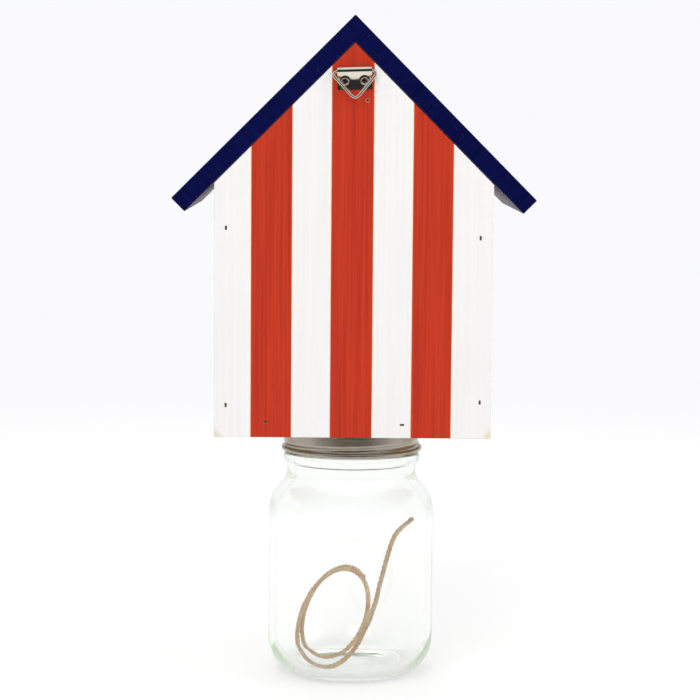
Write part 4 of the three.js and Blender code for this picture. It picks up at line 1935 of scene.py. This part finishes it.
@dataclass
class Twine:
    """Three-ply jute twine: a loose coil on the jar's floor and its raised end."""

    axis_back: float = JAR_AXIS_BACK
    radius: float = 1.3 * MM
    floor: float = JAR_FLOOR
    gap: float = 0.3 * MM
    coil_radius: float = 27.6 * MM
    coil_growth: float = -3.7 * MM
    coil_turns: float = 1.82
    turn_gap: float = 0.45 * MM
    drift_aside: float = -7.1 * MM
    drift_up: float = 6.5 * MM
    coil_across: float = -8.9 * MM
    coil_back: float = -8.9 * MM
    lean: float = math.radians(-25.6)
    turned: float = math.radians(52.5)
    loop_steps: int = 24
    tail_route: tuple[Point, ...] = (
        (10.8 * MM, -34.7 * MM, 38.6 * MM),
        (12.6 * MM, -33.8 * MM, 43.7 * MM),
        (14.1 * MM, -32.9 * MM, 50.1 * MM),
        (15.8 * MM, -31.7 * MM, 56.9 * MM),
        (18.2 * MM, -29.8 * MM, 66 * MM),
        (21 * MM, -27.6 * MM, 74.4 * MM),
        (24 * MM, -25.6 * MM, 79.1 * MM),
        (30.7 * MM, -22.8 * MM, 85.2 * MM),
    )
    route_steps: int = 12
    length: float = 361.9 * MM
    step: float = 0.7 * MM
    first_side: Point = (0.3, 0.2, 1)
    plies: int = 3
    ply_share: float = 0.56
    ply_turn: float = 8.5 * MM
    ply_sides: int = 10
    ply_swell: float = 0.08
    ply_swell_run: float = 1.9 * MM
    sharp_angle: float = math.radians(70)
    hairs: int = 1300
    hair_seed: int = 7
    hair_length: float = 1.5 * MM
    hair_least_share: float = 0.35
    hair_radius: float = 0.022 * MM
    hair_taper: tuple[float, float, float] = (1.0, 0.8, 0.35)
    hair_sides: int = 3
    hair_lean: float = 0.9
    hair_stray: float = 0.5
    hair_bow: float = 0.15
    hair_root: float = 0.8
    hairless_ends: int = 3
    hair_clearance: float = 0.15 * MM

    def coil_points(self) -> list[Vector]:
        """The middle line of the coil.

        Returns:
            Its points, from its raised side to its free end.
        """
        level = math.cos(self.lean)
        normal = Vector((math.sin(self.turned) * level, math.cos(self.turned) * level, math.sin(self.lean)))
        upward = Vector((0, 0, 1)) - normal * normal.z
        upward.normalize()
        aside = normal.cross(upward)
        steps = round(self.loop_steps * self.coil_turns)
        pitch = 2 * self.radius + self.turn_gap
        points = []
        for i in range(steps + 1):
            share = i / steps
            angle = -FULL_TURN * self.coil_turns * share
            reach = self.coil_radius + self.coil_growth * share
            shift = share - 0.5
            across = aside * (reach * math.cos(angle) + self.drift_aside * shift)
            across += upward * (reach * math.sin(angle) + self.drift_up * shift)
            stacked = normal * (pitch * (self.coil_turns * share - self.coil_turns / 2))
            points.append(Vector((self.coil_across, self.coil_back, 0)) + across + stacked)
        lift = self.floor + self.gap + self.radius - min(point.z for point in points)
        return [point + Vector((0, 0, lift)) for point in points]

    def route(self) -> list[Vector]:
        """The whole middle line.

        Returns:
            Its points, an even step apart, from the coil's free end to the raised tip.
        """
        coil = self.coil_points()
        run = 2 * self.radius
        lead = (coil[0] - coil[1]).normalized()
        trail = (coil[-1] - coil[-2]).normalized()
        start = coil[0] + lead * run
        tail = start + lead * self.gap
        points = [coil[-1] + trail * run, *coil[::-1], start, tail, tail + lead * run]
        points += [Vector(point) for point in self.tail_route]
        shift = Vector((0, self.axis_back, 0))
        return even_steps([point + shift for point in through(points, self.route_steps)], self.step)

    def ply_mesh(self, line: Sequence[Vector], frames: Sequence[Station]) -> bpy.types.Mesh:
        """The plies, laid round each other along the twine.

        Args:
            line: The points of the middle line.
            frames: The same points with two directions square to the line.

        Returns:
            The mesh.
        """
        ply = self.radius * self.ply_share
        corners: list[Vector] = []
        faces: list[tuple[int, ...]] = []
        for strand in range(self.plies):
            base = len(corners)
            travelled = 0.0
            for i, (point, side, other) in enumerate(frames):
                travelled += (line[i] - line[i - 1]).length if i else 0
                angle = FULL_TURN * (travelled / self.ply_turn + strand / self.plies)
                middle = point + (side * math.cos(angle) + other * math.sin(angle)) * (self.radius - ply)
                swell = 1 - self.ply_swell * math.sin(travelled / self.ply_swell_run + 2 * strand)
                for j in range(self.ply_sides):
                    turn = FULL_TURN * j / self.ply_sides + angle
                    out = side * math.cos(turn) + other * math.sin(turn)
                    corners.append(middle + out * (ply * swell))
            faces += strip_faces(base, len(frames), self.ply_sides)
        return mesh_from("jute_twine", corners, faces)

    def build(self) -> bpy.types.Object:
        """Builds the twine with its loose fibres.

        Returns:
            The twine.
        """
        line = self.route()
        jute = Jute().material()
        frames = carried_frames(line, Vector(self.first_side))
        mesh = self.ply_mesh(line, frames)
        twine = smooth(make_object("jute_twine", mesh, [jute]), self.sharp_angle)
        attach(twine, "twine")
        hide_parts("twine_coil", "twine_tail")
        fuzz = self.fuzz(frames, jute)
        return report(twine, "three-ply jute twine")

    def fuzz(self, frames: Sequence[Station], jute: bpy.types.Material) -> bpy.types.Object:
        """Loose fibres that stand off the twine.

        Args:
            frames: The middle line's points with two directions square to it.
            jute: The fibres' material.

        Returns:
            The fibres.
        """
        chance = random.Random(self.hair_seed)
        ends = self.hairless_ends
        corners: list[Vector] = []
        faces: list[tuple[int, ...]] = []
        for _ in range(self.hairs):
            point, side, other = frames[chance.randrange(ends, len(frames) - ends)]
            along = side.cross(other)
            angle = chance.uniform(0, FULL_TURN)
            out = side * math.cos(angle) + other * math.sin(angle)
            reach = self.hair_length * chance.uniform(self.hair_least_share, 1)
            bend = along * chance.uniform(-self.hair_lean, self.hair_lean) + out
            root = point + out * (self.radius * self.hair_root)
            stray = along * (reach * chance.uniform(-self.hair_stray, self.hair_stray))
            tip = root + bend.normalized() * reach + stray
            if min(root.z, tip.z) < self.floor + self.hair_clearance:
                continue
            middle = (root + tip) / 2 + out * (reach * self.hair_bow)
            base = len(corners)
            for place, taper in zip((root, middle, tip), self.hair_taper):
                for j in range(self.hair_sides):
                    turn = FULL_TURN * j / self.hair_sides
                    aside = along * math.cos(turn) + out.cross(along) * math.sin(turn)
                    corners.append(place + aside * (self.hair_radius * taper))
            faces += strip_faces(base, len(self.hair_taper), self.hair_sides)
        hairs = make_object("twine_fibres", mesh_from("twine_fibres", corners, faces), [jute])
        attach(hairs, "twine")
        return report(hairs, "loose fibres")


def let_light_out_of_glass(bounces: int = 40) -> None:
    """Lets rays that are mirrored inside the jar's wall run on until they leave it.

    Args:
        bounces: The most times that a ray is mirrored or bent.
    """
    cycles = bpy.context.scene.cycles
    cycles.max_bounces = bounces
    cycles.glossy_bounces = bounces
    cycles.transmission_bounces = bounces


def main() -> None:
    """Builds the view, the studio and every piece."""
    logging.basicConfig(level=logging.INFO, format="%(name)s: %(message)s")
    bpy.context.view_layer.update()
    Viewpoint().build()
    Twine().build()
    Studio().build()
    House().build()
    Hanger().build()
    Closure().build()
    Jar().build()
    bpy.context.scene.view_settings.view_transform = "Standard"
    let_light_out_of_glass()


if __name__ == "__main__":
    main()
